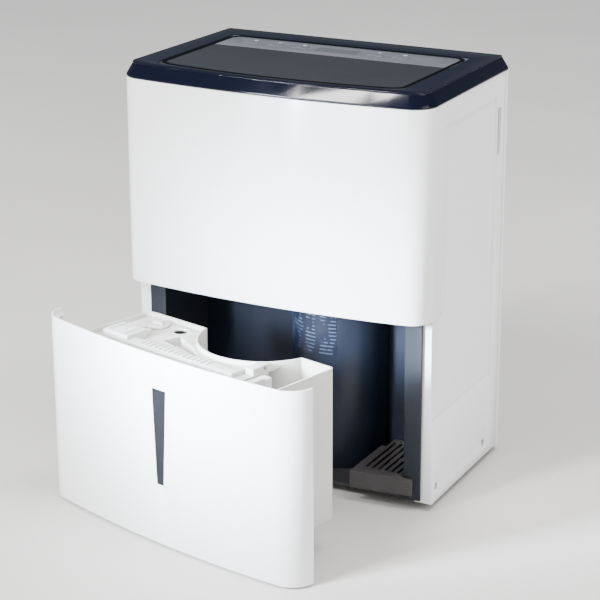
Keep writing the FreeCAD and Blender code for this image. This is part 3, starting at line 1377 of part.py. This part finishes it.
def make_bucket_fittings():
    """Carry handle, pour cap and the float that trips the full-bucket switch."""
    bar_tall = 4.2
    wide = 2 * (HANDLE_X + 2)
    parts = [box("handle_bar", (-wide / 2, HANDLE_BAR_Y - 6, HANDLE_LOW), (wide, 12, bar_tall))]
    parts.append(box("handle_grip", (-112, HANDLE_BAR_Y - 7, HANDLE_LOW), (38, 30, 9.0)))
    for side in (-1, 1):
        low_x = side * HANDLE_X - 2.0
        arm_size = (4.0, HANDLE_Y - HANDLE_BAR_Y, 4.0)
        parts.append(box(f"handle_arm{side}", (low_x, HANDLE_BAR_Y, HANDLE_LOW), arm_size))
        eye = (low_x, HANDLE_Y, HANDLE_Z)
        parts.append(cylinder(f"handle_eye{side}", eye, 3.0, 4.0, Vector(1, 0, 0)))
        pin_x = side * HANDLE_X - (10.3 if side < 0 else 0.0)
        pin = (pin_x, HANDLE_Y, HANDLE_Z)
        parts.append(cylinder(f"handle_pin{side}", pin, 2.0, 10.3, Vector(1, 0, 0)))
    handle = keep(fuse("bucket_handle", parts), "bucket_handle")
    handle.Placement = bucket_pose()

    disc = cylinder("cap_disc", (*POUR_PLACE, 204.3), POUR_HOLE + 1.7, 2.4)
    plug = cylinder("cap_plug", (*POUR_PLACE, 202.2), POUR_HOLE - 0.3, 2.6)
    cap = keep(fuse("pour_cap", [disc, plug]), "pour_cap")
    cap.Placement = bucket_pose()

    block = box("float_block", (FLOAT_X - 6, 40, 176), (12, 26, 26))
    arm = box("float_stem", (FLOAT_X - 3, FLOAT_Y - 1, FLOAT_Z - 2), (6, 14, 4))
    eye = cylinder("float_eye", (FLOAT_X - 5, FLOAT_Y, FLOAT_Z), 3.6, 10, Vector(1, 0, 0))
    across = Vector(1, 0, 0)
    bore = cylinder("float_bore", (FLOAT_X - 6, FLOAT_Y, FLOAT_Z), FLOAT_PIN + 0.06, 12, across)
    swing = keep(cut("bucket_float", fuse("float_solid", [block, arm, eye]), [bore]), "bucket_float")
    swing.Placement = bucket_pose()


# ---------------------------------------------------------------- build and write


def main():
    make_front_panel()
    for name, side in SIDES.items():
        make_side_panel(name, side)
        make_grip_cup(name, side)
        make_shelf(name, side)
    make_rear_panel()
    make_rim()
    make_deck()
    make_control_board()
    make_base()
    for name, place in CASTERS.items():
        make_caster(name, place)
    make_posts()
    make_liner()
    make_hump()
    make_label()
    make_coil("condenser", 56.0, 22.0, 2)
    make_coil("evaporator", 86.0, 20.0, 2)
    make_drip_tray()
    make_fan()
    make_compressor()
    make_filter()
    make_outlet_grille()
    make_rear_fittings()
    make_bucket_switch()
    make_screws()
    make_bucket_front()
    make_tub()
    make_tub_cover()
    make_bucket_fittings()
    doc.recompute()
    check()
    write()


def check():
    """Stops the build if any object failed or any sub-part is empty or broken."""
    for obj in doc.Objects:
        if "Invalid" in obj.State or "Error" in obj.State:
            raise RuntimeError(f"{obj.Name} is {obj.State}")
    for part in subparts:
        if part.Shape.isNull() or not part.Shape.isValid() or not part.Shape.Solids:
            raise RuntimeError(f"{part.Label} has no valid solid")


def write():
    os.makedirs("parts", exist_ok=True)
    for part in subparts:
        part.Shape.exportStep(f"parts/{part.Label}.step")
    print(f"{len(subparts)} sub-parts written")


main()
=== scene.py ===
import json
import math

import bmesh
import bpy
from mathutils import Matrix, Vector


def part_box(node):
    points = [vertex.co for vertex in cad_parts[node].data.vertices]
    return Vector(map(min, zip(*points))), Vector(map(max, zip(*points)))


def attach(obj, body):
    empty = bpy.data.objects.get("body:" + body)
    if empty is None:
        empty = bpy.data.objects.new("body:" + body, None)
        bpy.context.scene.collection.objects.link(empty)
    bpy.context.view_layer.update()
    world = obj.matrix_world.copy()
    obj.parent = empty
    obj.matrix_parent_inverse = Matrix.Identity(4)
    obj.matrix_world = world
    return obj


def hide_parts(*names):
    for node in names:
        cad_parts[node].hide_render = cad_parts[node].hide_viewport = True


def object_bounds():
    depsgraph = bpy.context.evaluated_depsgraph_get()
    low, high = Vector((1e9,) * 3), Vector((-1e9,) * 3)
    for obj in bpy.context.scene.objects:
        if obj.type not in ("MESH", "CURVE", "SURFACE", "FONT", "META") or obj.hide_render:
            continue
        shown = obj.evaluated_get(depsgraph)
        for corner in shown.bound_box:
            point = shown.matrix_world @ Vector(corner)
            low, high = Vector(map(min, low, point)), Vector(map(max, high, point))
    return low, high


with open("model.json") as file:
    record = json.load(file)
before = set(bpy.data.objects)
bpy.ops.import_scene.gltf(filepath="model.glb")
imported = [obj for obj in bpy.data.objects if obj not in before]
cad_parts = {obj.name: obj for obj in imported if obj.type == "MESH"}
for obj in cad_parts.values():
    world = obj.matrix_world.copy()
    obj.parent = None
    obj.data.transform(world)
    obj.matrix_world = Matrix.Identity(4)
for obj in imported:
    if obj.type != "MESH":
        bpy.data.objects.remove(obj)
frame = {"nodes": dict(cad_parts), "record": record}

CAD_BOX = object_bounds()
NODES = frame["nodes"]
RECORD = frame["record"]
SLOT_OF = {part["node"]: part["material_slot"] for part in RECORD["subparts"]}
BODY_OF = {node: body for body, nodes in RECORD["behaviour"]["bodies"].items() for node in nodes}


# ---------------------------------------------------------------- materials


class Nodes:
    """Short way to add and link the nodes of one material."""

    def __init__(self, name):
        self.material = bpy.data.materials.new(name)
        self.material.use_nodes = True
        self.tree = self.material.node_tree
        self.tree.nodes.clear()
        self.shader = self.add("ShaderNodeBsdfPrincipled")
        output = self.add("ShaderNodeOutputMaterial")
        self.link(self.shader, "BSDF", output, "Surface")
        coordinates = self.add("ShaderNodeTexCoord")
        self.place = coordinates.outputs["Object"]

    def add(self, kind, **settings):
        node = self.tree.nodes.new(kind)
        for name, value in settings.items():
            setattr(node, name, value)
        return node

    def link(self, source, output, target, socket):
        self.tree.links.new(source.outputs[output], target.inputs[socket])

    def noise(self, scale, detail=3.0, roughness=0.5, stretch=(1, 1, 1)):
        """A noise texture in the object's own metres."""
        mapping = self.add("ShaderNodeMapping")
        mapping.inputs["Scale"].default_value = stretch
        self.tree.links.new(self.place, mapping.inputs["Vector"])
        node = self.add("ShaderNodeTexNoise")
        node.inputs["Scale"].default_value = scale
        node.inputs["Detail"].default_value = detail
        node.inputs["Roughness"].default_value = roughness
        self.link(mapping, "Vector", node, "Vector")
        return node

    def ramp(self, source, output, stops):
        """A colour ramp over a value."""
        node = self.add("ShaderNodeValToRGB")
        elements = node.color_ramp.elements
        while len(elements) < len(stops):
            elements.new(0.5)
        for element, (where, colour) in zip(elements, stops):
            element.position = where
            element.color = (*colour, 1.0)
        self.link(source, output, node, "Fac")
        return node

    def spread(self, source, low, high):
        """Maps a texture's middle range to low..high."""
        node = self.add("ShaderNodeMapRange")
        node.inputs["From Min"].default_value = 0.3
        node.inputs["From Max"].default_value = 0.7
        node.inputs["To Min"].default_value = low
        node.inputs["To Max"].default_value = high
        self.link(source, "Fac", node, "Value")
        return node

    def bump(self, source, output, strength, distance, under=None):
        node = self.add("ShaderNodeBump")
        node.inputs["Strength"].default_value = strength
        node.inputs["Distance"].default_value = distance
        self.link(source, output, node, "Height")
        if under:
            self.link(under, "Normal", node, "Normal")
        return node


def shade(colour, factor):
    return tuple(min(1.0, c * factor) for c in colour)


def moulded(
    name, colour, rough, grain=900.0, depth=0.00004, vary=0.03, gloss=0.5, coat=0.0, waviness=0.10
):
    """Moulded plastic: faint flow marks in the colour, a fine grain, and uneven gloss."""
    m = Nodes(name)
    flow = m.noise(7.0, 4.0, 0.55)
    tint = m.ramp(flow, "Fac", [(0.32, shade(colour, 1 - vary)), (0.68, shade(colour, 1 + vary))])
    m.link(tint, "Color", m.shader, "Base Color")
    smudge = m.noise(23.0, 5.0, 0.6)
    m.link(m.spread(smudge, rough * 0.88, rough * 1.12), "Result", m.shader, "Roughness")
    texture = m.noise(grain, 2.0, 0.5)
    ripple = m.noise(38.0, 1.0, 0.4)
    under = m.bump(ripple, "Fac", waviness, 0.0004)
    skin = m.bump(texture, "Fac", 0.35, depth, under)
    m.link(skin, "Normal", m.shader, "Normal")
    m.shader.inputs["Specular IOR Level"].default_value = gloss
    m.shader.inputs["Coat Weight"].default_value = coat
    m.shader.inputs["Coat Roughness"].default_value = 0.08
    return m.material


def metal(name, colour, rough, scale=320.0):
    """Bare or plated metal with drawn streaks."""
    m = Nodes(name)
    streak = m.noise(scale, 3.0, 0.5, (1, 1, 0.05))
    tint = m.ramp(streak, "Fac", [(0.3, shade(colour, 0.88)), (0.7, shade(colour, 1.08))])
    m.link(tint, "Color", m.shader, "Base Color")
    m.link(m.spread(streak, rough * 0.8, rough * 1.25), "Result", m.shader, "Roughness")
    m.link(m.bump(streak, "Fac", 0.2, 0.00004), "Normal", m.shader, "Normal")
    m.shader.inputs["Metallic"].default_value = 1.0
    return m.material


def milky(name, colour, rough):
    """Milky polypropylene: light passes into it, and its wall is slightly uneven."""
    m = Nodes(name)
    cloud = m.noise(16.0, 4.0, 0.6)
    tint = m.ramp(cloud, "Fac", [(0.3, shade(colour, 0.94)), (0.7, shade(colour, 1.04))])
    m.link(tint, "Color", m.shader, "Base Color")
    m.link(m.spread(m.noise(40.0, 3.0), rough * 0.85, rough * 1.15), "Result", m.shader, "Roughness")
    skin = m.bump(m.noise(55.0, 2.0), "Fac", 0.12, 0.0005, m.bump(m.noise(700.0), "Fac", 0.2, 0.00004))
    m.link(skin, "Normal", m.shader, "Normal")
    m.shader.inputs["Subsurface Weight"].default_value = 0.15
    m.shader.inputs["Subsurface Radius"].default_value = (0.9, 1.0, 0.85)
    m.shader.inputs["Subsurface Scale"].default_value = 0.006
    m.shader.inputs["Specular IOR Level"].default_value = 0.45
    return m.material


def label_film(name):
    """Printed film: dark blue with broken rows of plain pale bars."""
    m = Nodes(name)
    separate = m.add("ShaderNodeSeparateXYZ")
    m.tree.links.new(m.place, separate.inputs["Vector"])
    rows = m.add("ShaderNodeMath", operation="MULTIPLY")
    rows.inputs[1].default_value = 230.0
    m.link(separate, "Z", rows, 0)
    part = m.add("ShaderNodeMath", operation="FRACT")
    m.link(rows, 0, part, 0)
    bars = m.ramp(part, 0, [(0.30, (0.0, 0.0, 0.0)), (0.42, (1.0, 1.0, 1.0))])
    patch = m.noise(120.0, 2.0, 0.5, (1, 1, 0.35))
    gaps = m.ramp(patch, "Fac", [(0.46, (0.0, 0.0, 0.0)), (0.52, (1.0, 1.0, 1.0))])
    printed = m.add("ShaderNodeMix", data_type="RGBA", blend_type="LIGHTEN")
    printed.inputs["Factor"].default_value = 1.0
    m.tree.links.new(bars.outputs["Color"], printed.inputs[6])
    m.tree.links.new(gaps.outputs["Color"], printed.inputs[7])
    ink = m.add("ShaderNodeMix", data_type="RGBA")
    ink.inputs[6].default_value = (0.060, 0.082, 0.128, 1.0)
    ink.inputs[7].default_value = (0.0040, 0.0075, 0.020, 1.0)
    m.tree.links.new(printed.outputs[2], ink.inputs["Factor"])
    m.tree.links.new(ink.outputs[2], m.shader.inputs["Base Color"])
    m.link(m.spread(patch, 0.30, 0.42), "Result", m.shader, "Roughness")
    return m.material


def woven(name, colour):
    """Fine filter net: two crossed sets of threads."""
    m = Nodes(name)
    waves = []
    for direction in ("X", "Z"):
        wave = m.add("ShaderNodeTexWave", bands_direction=direction)
        wave.inputs["Scale"].default_value = 160.0
        m.tree.links.new(m.place, wave.inputs["Vector"])
        waves.append(wave)
    cross = m.add("ShaderNodeMath", operation="MAXIMUM")
    m.link(waves[0], "Fac", cross, 0)
    m.link(waves[1], "Fac", cross, 1)
    tint = m.ramp(cross, 0, [(0.35, shade(colour, 0.25)), (0.75, colour)])
    m.link(tint, "Color", m.shader, "Base Color")
    m.link(m.bump(cross, 0, 0.6, 0.0003), "Normal", m.shader, "Normal")
    m.shader.inputs["Roughness"].default_value = 0.7
    return m.material


MATERIALS = {
    "white_casing": moulded("white_casing", (0.86, 0.862, 0.866), 0.22, vary=0.006, coat=0.2),
    "black_rim": moulded(
        "black_rim", (0.0030, 0.0040, 0.0105), 0.10,
        grain=1400.0, depth=0.00001, vary=0.10, gloss=0.30, waviness=0.02,
    ),
    # Painted shade: a near-black, matte finish darker than the rim, so that the deck's bead reads as
    # the shaded groove round the deck.
    "bead_painted_shade": moulded(
        "bead_painted_shade", (0.0016, 0.0019, 0.0030), 0.50,
        grain=1400.0, depth=0.00001, vary=0.10, gloss=0.08,
    ),
    "deck_charcoal": moulded(
        "deck_charcoal", (0.022, 0.025, 0.031), 0.45,
        grain=1100.0, depth=0.00006, vary=0.10,
    ),
    "strip_charcoal": moulded(
        "strip_charcoal", (0.108, 0.115, 0.131), 0.28,
        grain=1500.0, depth=0.00002, vary=0.08,
    ),
    "display_lens": moulded(
        "display_lens", (0.082, 0.088, 0.102), 0.16,
        grain=1500.0, depth=0.00001, vary=0.05,
    ),
    "button_cap": moulded(
        "button_cap", (0.115, 0.122, 0.136), 0.26,
        grain=1500.0, depth=0.00002, vary=0.06,
    ),
    "bay_slate": moulded(
        "bay_slate", (0.0098, 0.0140, 0.0262), 0.40,
        grain=800.0, depth=0.00005, vary=0.12, gloss=0.35,
    ),
    "post_slate": moulded(
        "post_slate", (0.0205, 0.0240, 0.0310), 0.56,
        grain=800.0, depth=0.00006, vary=0.08, gloss=0.16,
    ),
    "base_grey": moulded(
        "base_grey", (0.032, 0.032, 0.036), 0.5,
        grain=700.0, depth=0.00008, vary=0.10, gloss=0.4,
    ),
    "shelf_grey": moulded(
        "shelf_grey", (0.042, 0.039, 0.040), 0.38,
        grain=700.0, depth=0.00008, vary=0.10, gloss=0.45,
    ),
    "label_film": label_film("label_film"),
    "tub_white": milky("tub_white", (0.57, 0.565, 0.535), 0.32),
    "window_smoke": moulded(
        "window_smoke", (0.0085, 0.0100, 0.0125), 0.34,
        depth=0.00003, vary=0.12, gloss=0.20,
    ),
    "handle_white": moulded("handle_white", (0.70, 0.705, 0.69), 0.28),
    "float_white": moulded("float_white", (0.76, 0.76, 0.74), 0.38, depth=0.00005),
    "caster_black": moulded(
        "caster_black", (0.020, 0.020, 0.022), 0.45,
        grain=700.0, depth=0.00008, vary=0.10,
    ),
    "wheel_rubber": moulded("wheel_rubber", (0.035, 0.035, 0.037), 0.62, depth=0.0001, vary=0.12),
    "fin_aluminium": metal("fin_aluminium", (0.72, 0.73, 0.74), 0.35),
    "copper_pipe": metal("copper_pipe", (0.70, 0.33, 0.18), 0.28),
    "compressor_black": moulded(
        "compressor_black", (0.015, 0.015, 0.016), 0.32,
        grain=600.0, depth=0.0001, vary=0.12,
    ),
    "motor_steel": metal("motor_steel", (0.42, 0.43, 0.44), 0.38),
    "inner_white": moulded("inner_white", (0.60, 0.61, 0.62), 0.40, grain=700.0, depth=0.00006),
    "board_green": moulded(
        "board_green", (0.012, 0.10, 0.045), 0.35,
        grain=500.0, depth=0.00006, vary=0.15,
    ),
    "rubber_black": moulded("rubber_black", (0.016, 0.016, 0.017), 0.60, depth=0.0001, vary=0.12),
    "filter_white": moulded(
        "filter_white", (0.46, 0.48, 0.50), 0.40,
        grain=800.0, depth=0.00006, vary=0.04,
    ),
    "filter_net": woven("filter_net", (0.22, 0.23, 0.25)),
    "screw_steel": metal("screw_steel", (0.52, 0.52, 0.53), 0.30),
    "foot_black": moulded(
        "foot_black", (0.022, 0.022, 0.024), 0.40,
        grain=700.0, depth=0.00008, vary=0.10,
    ),
}


def dress(obj, slot):
    """Gives every material slot of a mesh the finish of that name."""
    if not obj.material_slots:
        obj.data.materials.append(MATERIALS[slot])
    for entry in obj.material_slots:
        entry.material = MATERIALS[slot]


for node, obj in NODES.items():
    dress(obj, SLOT_OF[node])


# ---------------------------------------------------------------- moulded edges

# Radius of the rounded edges on each moulding, in millimetres.
EDGE_ROUND = {
    "front_panel": 0.9,
    "bucket_front": 0.9,
    "side_panel_left": 0.7,
    "side_panel_right": 0.7,
    "rear_panel": 0.7,
    "top_rim": 1.2,
    "top_deck": 0.5,
    "control_strip": 0.4,
    "bay_post_left": 0.7,
    "bay_post_right": 0.7,
    "shelf_left": 0.7,
    "shelf_right": 0.7,
    "compressor_cover": 0.5,
    "base_tray": 0.5,
    "tub": 0.7,
    "tub_cover": 0.5,
    "bucket_handle": 1.0,
    "pour_cap": 0.8,
    "bucket_float": 0.9,
    "button_power": 0.5,
    "button_mode": 0.5,
    "button_fan": 0.5,
    "button_down": 0.5,
    "button_up": 0.5,
    "filter_frame": 0.5,
    "outlet_grille": 0.4,
    "drain_port": 0.5,
    "drain_plug": 0.8,
    "cord_gland": 0.9,
}
# Grids: merging their flat faces would join cells across the holes, so they keep every face.
GRIDS = {"filter_frame", "outlet_grille"}
# Mouldings whose shallow steps would otherwise shrink every rounded edge to almost nothing.
SHALLOW_STEPS = {"side_panel_left", "side_panel_right", "base_tray"}
# Edges sharper than this are rounded, faces flatter than this are merged, points closer are welded.
SHARP_EDGE = math.radians(28)
FLAT = math.radians(0.3)
WELD = 0.000002


def link(name, data):
    """A new object in the scene's own collection."""
    obj = bpy.data.objects.new(name, data)
    bpy.context.scene.collection.objects.link(obj)
    return obj


def soften(node, radius):
    """Stands in for a CAD moulding with the same shape and rounded edges."""
    mesh = NODES[node].data.copy()
    mesh.name = f"{node}_moulding"
    bm = bmesh.new()
    bm.from_mesh(mesh)
    bmesh.ops.remove_doubles(bm, verts=bm.verts, dist=WELD)
    if node not in GRIDS:
        bmesh.ops.dissolve_limit(bm, angle_limit=FLAT, verts=bm.verts, edges=bm.edges)
    for face in bm.faces:
        face.smooth = True
    bm.to_mesh(mesh)
    bm.free()
    piece = link(f"{node}_moulding", mesh)
    bevel = piece.modifiers.new("edges", "BEVEL")
    bevel.width = radius / 1000
    bevel.segments = 3
    bevel.limit_method = "ANGLE"
    bevel.angle_limit = SHARP_EDGE
    bevel.harden_normals = True
    bevel.use_clamp_overlap = node not in SHALLOW_STEPS
    dress(piece, SLOT_OF[node])
    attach(piece, BODY_OF[node])
    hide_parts(node)


for node, radius in EDGE_ROUND.items():
    soften(node, radius)


# ---------------------------------------------------------------- small mouldings and prints

# The bucket's own frame: origin under the foremost point of its front, +Y to its back.
BUCKET = Matrix.Translation((-0.0378, -0.2962, 0.0)) @ Matrix.Rotation(math.radians(-14.47), 4, "Z")
CASING = Matrix.Identity(4)


def finish_piece(name, bm, body, slot, place, edge=0.0):
    """Turns mesh code in millimetres into a piece that rides on a body."""
    bmesh.ops.scale(bm, vec=(0.001, 0.001, 0.001), verts=bm.verts)
    bmesh.ops.transform(bm, matrix=place, verts=bm.verts)
    bmesh.ops.recalc_face_normals(bm, faces=bm.faces)
    mesh = bpy.data.meshes.new(name)
    bm.to_mesh(mesh)
    bm.free()
    piece = link(name, mesh)
    if edge:
        bevel = piece.modifiers.new("edges", "BEVEL")
        bevel.width = edge / 1000
        bevel.segments = 2
        bevel.limit_method = "ANGLE"
        bevel.angle_limit = SHARP_EDGE
    dress(piece, slot)
    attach(piece, body)
    return piece


def add_prism(bm, points, low, high):
    """A straight prism over a closed plan."""
    bottom = [bm.verts.new((x, y, low)) for x, y in points]
    top = [bm.verts.new((x, y, high)) for x, y in points]
    count = len(points)
    bm.faces.new(list(reversed(bottom)))
    bm.faces.new(top)
    for i in range(count):
        j = (i + 1) % count
        bm.faces.new((bottom[i], bottom[j], top[j], top[i]))


def bar_plan(start, end, width):
    """Plan of a straight bar between two points."""
    along = (Vector(end) - Vector(start)).normalized()
    side = Vector((-along.y, along.x)) * width / 2
    start, end = Vector(start), Vector(end)
    return [start - side, end - side, end + side, start + side]


def ring_plan(x, y, radius, count):
    """Plan of a circle as evenly spaced points."""
    turns = [2 * math.pi * i / count for i in range(count)]
    return [(x + radius * math.cos(a), y + radius * math.sin(a)) for a in turns]


def bridge_round(bm, loops):
    """Faces between closed loops of equal length, and from the last loop back to the first."""
    count = len(loops[0])
    for a, b in zip(loops, loops[1:] + loops[:1]):
        for i in range(count):
            j = (i + 1) % count
            bm.faces.new((a[i], a[j], b[j], b[i]))


def add_tube(bm, x, y, outer, inner, low, high, count=28):
    """A short open tube."""
    loops = []
    for radius, z in ((outer, low), (outer, high), (inner, high), (inner, low)):
        loops.append([bm.verts.new((px, py, z)) for px, py in ring_plan(x, y, radius, count)])
    bridge_round(bm, loops)


# The deck's plan in millimetres: half width, back edge, front edge at its sides, and its bow.
DECK_HALF, DECK_BACK, DECK_SIDE_FRONT, DECK_BOW_DEEP = 151.0, 83.0, -91.0, 14.3
BEAD_CORNER = 15.0
BACK_STEPS, FRONT_STEPS, BOW_STEPS = 8, 7, 40
# The bowed front meets its corners before they have turned square.
FRONT_TURN = 78.0
FRONT_SHIFT, BOW_TRIM = 1.2, 1.6
# Inset from the deck's edge and height above the rim, in millimetres.
BEAD_SECTION = ((0.0, -0.55), (0.5, -0.2), (1.4, -0.02), (3.6, -0.05), (5.0, -0.3), (5.6, -0.65))


def deck_path(inset):
    """Plan of the deck's edge with four rounded corners and a bowed front."""
    half, back, corner = DECK_HALF - inset, DECK_BACK - inset, BEAD_CORNER - inset
    front = DECK_SIDE_FRONT + inset
    reach = half - corner
    path = []

    def turn(x, y, start, sweep, steps):
        for step in steps:
            angle = math.radians(start + step * sweep)
            path.append((x + corner * math.cos(angle), y + corner * math.sin(angle)))

    for side, start in ((1, 0), (-1, 90)):
        turn(side * reach, back - corner, start, 90 / BACK_STEPS, range(BACK_STEPS + 1))
    low = front + corner - FRONT_SHIFT
    turn(-reach, low, 180, FRONT_TURN / FRONT_STEPS, range(FRONT_STEPS))
    for step in range(BOW_STEPS + 1):
        x = -reach + 2 * reach * step / BOW_STEPS
        bow = (DECK_BOW_DEEP - BOW_TRIM) * (1 - (x / half) ** 2)
        path.append((x, front - bow - FRONT_SHIFT))
    turn(reach, low, 360 - FRONT_TURN, FRONT_TURN / FRONT_STEPS, range(1, FRONT_STEPS + 1))
    return path


def add_deck_bead():
    """The rounded black bead that frames the sunken deck; its black is darker and more matte than the
    rim's, as painted shade for the groove round the deck.
    """
    top = CAD_BOX[1][2] * 1000
    bm = bmesh.new()
    loops = []
    for inset, rise in BEAD_SECTION:
        loops.append([bm.verts.new((x, y, top + rise)) for x, y in deck_path(inset)])
    bridge_round(bm, loops)
    for face in bm.faces:
        face.smooth = True
    piece = finish_piece("deck_bead", bm, "casing", "black_rim", CASING)
    # The bead takes the darker, matte black of painted shade instead of the rim's glossy black.
    piece.data.materials[0] = MATERIALS["bead_painted_shade"]


# How far each mark is sunk in, stands up and sits behind its button, and its own sizes.
MARK_SINK, MARK_RISE, MARK_BACK = 0.05, 0.12, 5.5
RING_OUTER, RING_INNER = 2.2, 1.5
DASH_HALF, DASH_WIDE = 2.2, 0.9
BUTTONS = ("button_power", "button_mode", "button_fan", "button_down", "button_up")


def add_strip_marks():
    """Plain generic marks printed behind each button: a ring or a bar."""
    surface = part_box("control_strip")[1][2] * 1000
    low, high = surface - MARK_SINK, surface + MARK_RISE
    bm = bmesh.new()
    for i, node in enumerate(BUTTONS):
        near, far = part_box(node)
        x, y = (near[0] + far[0]) / 2 * 1000, far[1] * 1000 + MARK_BACK
        if i % 2 == 0:
            add_tube(bm, x, y, RING_OUTER, RING_INNER, low, high)
        else:
            add_prism(bm, bar_plan((x - DASH_HALF, y), (x + DASH_HALF, y), DASH_WIDE), low, high)
    finish_piece("strip_marks", bm, "casing", "inner_white", CASING)


# The pour cap's centre and top in the bucket's frame, then the bar and the rim raised on it.
CAP_X, CAP_Y, CAP_TOP = -92.0, 96.0, 206.7
CAP_BAR_HALF, CAP_BAR_WIDE, CAP_BAR_RISE = 7.5, 2.6, 2.6
CAP_RING_OUTER, CAP_RING_INNER, CAP_RING_RISE = 12.4, 11.2, 0.5
# How far a raised detail reaches down into what it stands on.
ROOT = 0.2


def add_cap_grip():
    """Grip bar and rim raised on the pour cap."""
    low = CAP_TOP - ROOT
    start, end = (CAP_X - CAP_BAR_HALF, CAP_Y), (CAP_X + CAP_BAR_HALF, CAP_Y)
    bm = bmesh.new()
    add_prism(bm, bar_plan(start, end, CAP_BAR_WIDE), low, CAP_TOP + CAP_BAR_RISE)
    high = CAP_TOP + CAP_RING_RISE
    add_tube(bm, CAP_X, CAP_Y, CAP_RING_OUTER, CAP_RING_INNER, low, high, 40)
    finish_piece("cap_grip", bm, BODY_OF["pour_cap"], "tub_white", BUCKET, 0.5)


# Tops of the handle's bar and grip block in the bucket's frame, and what is raised on each.
BAR_TOP, BLOCK_TOP = 208.6, 213.4
RIB_COUNT, RIB_START, RIB_STEP, RIB_WIDE, RIB_RISE = 15, -56.0, 7.0, 2.2, 1.3
RIB_NEAR, RIB_FAR = 34.0, 44.0
RIDGES_X, RIDGE_WIDE, RIDGE_RISE = (-106.0, -82.0), 2.4, 1.2
RIDGE_NEAR, RIDGE_FAR = 35.0, 59.0


def add_handle_ribs():
    """Finger ribs across the handle's bar, and two ridges along its grip block."""
    bm = bmesh.new()
    low, high = BAR_TOP - ROOT, BAR_TOP + RIB_RISE
    for i in range(RIB_COUNT):
        x = RIB_START + i * RIB_STEP
        add_prism(bm, bar_plan((x, RIB_NEAR), (x, RIB_FAR), RIB_WIDE), low, high)
    low, high = BLOCK_TOP - ROOT, BLOCK_TOP + RIDGE_RISE
    for x in RIDGES_X:
        add_prism(bm, bar_plan((x, RIDGE_NEAR), (x, RIDGE_FAR), RIDGE_WIDE), low, high)
    finish_piece("handle_ribs", bm, BODY_OF["bucket_handle"], "handle_white", BUCKET, 0.25)


add_deck_bead()
add_strip_marks()
add_cap_grip()
add_handle_ribs()


# ---------------------------------------------------------------- floor, light, camera


def add_floor(half=6.0):
    """Plain pale floor."""
    mesh = bpy.data.meshes.new("floor")
    corners = [(-half, -half, 0), (half, -half, 0), (half, half, 0), (-half, half, 0)]
    mesh.from_pydata(corners, [], [(0, 1, 2, 3)])
    floor = link("floor", mesh)
    m = Nodes("floor")
    patch = m.noise(1.6, 4.0)
    tint = m.ramp(patch, "Fac", [(0.3, (0.66, 0.645, 0.62)), (0.7, (0.70, 0.685, 0.66))])
    m.link(tint, "Color", m.shader, "Base Color")
    m.link(m.spread(patch, 0.52, 0.62), "Result", m.shader, "Roughness")
    mesh.materials.append(m.material)


# Colour and strength of the room as surfaces, reflections and the camera see it.
LIT_ROOM = ((0.96, 0.965, 1.0), 1.08)
GLOSS_ROOM = ((0.75, 0.85, 1.0), 0.16)
BACKDROP = ((0.90, 0.90, 0.90), 0.85)


def add_area(name, place, target, size, power, colour, spread=180.0):
    """A soft box that shines from one place towards another."""
    light = bpy.data.lights.new(name, "AREA")
    light.shape = "RECTANGLE"
    light.size, light.size_y = size
    light.energy = power
    light.color = colour
    light.spread = math.radians(spread)
    obj = link(name, light)
    obj.location = place
    obj.rotation_euler = (Vector(target) - Vector(place)).to_track_quat("-Z", "Y").to_euler()


def add_world():
    """Even studio light. Reflections see a darker room, and the backdrop stays pale."""
    world = bpy.data.worlds.new("studio")
    bpy.context.scene.world = world
    world.use_nodes = True
    tree = world.node_tree
    tree.nodes.clear()
    path = tree.nodes.new("ShaderNodeLightPath")
    rooms = []
    for colour, strength in (LIT_ROOM, GLOSS_ROOM, BACKDROP):
        room = tree.nodes.new("ShaderNodeBackground")
        room.inputs["Color"].default_value = (*colour, 1.0)
        room.inputs["Strength"].default_value = strength
        rooms.append(room)
    last = rooms[0]
    for room, ray in ((rooms[1], "Is Glossy Ray"), (rooms[2], "Is Camera Ray")):
        mix = tree.nodes.new("ShaderNodeMixShader")
        tree.links.new(path.outputs[ray], mix.inputs[0])
        tree.links.new(last.outputs[0], mix.inputs[1])
        tree.links.new(room.outputs[0], mix.inputs[2])
        last = mix
    output = tree.nodes.new("ShaderNodeOutputWorld")
    tree.links.new(last.outputs[0], output.inputs["Surface"])


# Place in metres, angles in degrees, focal length in millimetres on a 36 mm sensor.
CAMERA_PLACE = (1.039, -1.994, 0.953)
CAMERA_HEADING, CAMERA_PITCH, CAMERA_ROLL = 27.99, 18.60, -0.25
CAMERA_LENS = 122.5


def add_camera():
    """Looks down at the front and the right side, turned from the front by the heading."""
    camera = bpy.data.cameras.new("camera")
    camera.sensor_width = 36.0
    camera.lens = CAMERA_LENS
    camera.clip_end = 50.0
    obj = link("camera", camera)
    heading = Matrix.Rotation(math.radians(CAMERA_HEADING), 4, "Z")
    pitch = Matrix.Rotation(math.radians(90 - CAMERA_PITCH), 4, "X")
    roll = Matrix.Rotation(math.radians(CAMERA_ROLL), 4, "Z")
    obj.matrix_world = Matrix.Translation(CAMERA_PLACE) @ heading @ pitch @ roll
    bpy.context.scene.camera = obj


add_floor()
add_world()
add_area("key", (-0.95, -2.55, 2.66), (0, -0.1, 0.40), (0.50, 1.40), 190.0, (1.0, 0.99, 0.97))
add_area("fill", (2.6, -0.6, 1.3), (0, 0, 0.25), (1.6, 1.6), 28.0, (1.0, 0.97, 0.95))
add_area("top", (1.2, -0.3, 3.0), (0, 0, 0.1), (1.2, 1.2), 60.0, (1.0, 0.98, 0.96))
add_area("low", (-1.1, -3.0, 0.55), (0.1, 0.0, 0.12), (1.0, 0.7), 50.0, (0.86, 0.92, 1.0))
add_area("bay", (-0.40, -1.0, 0.50), (0.165, -0.05, 0.15), (0.22, 0.22), 4.2, (0.80, 0.89, 1.0), 30.0)
add_camera()
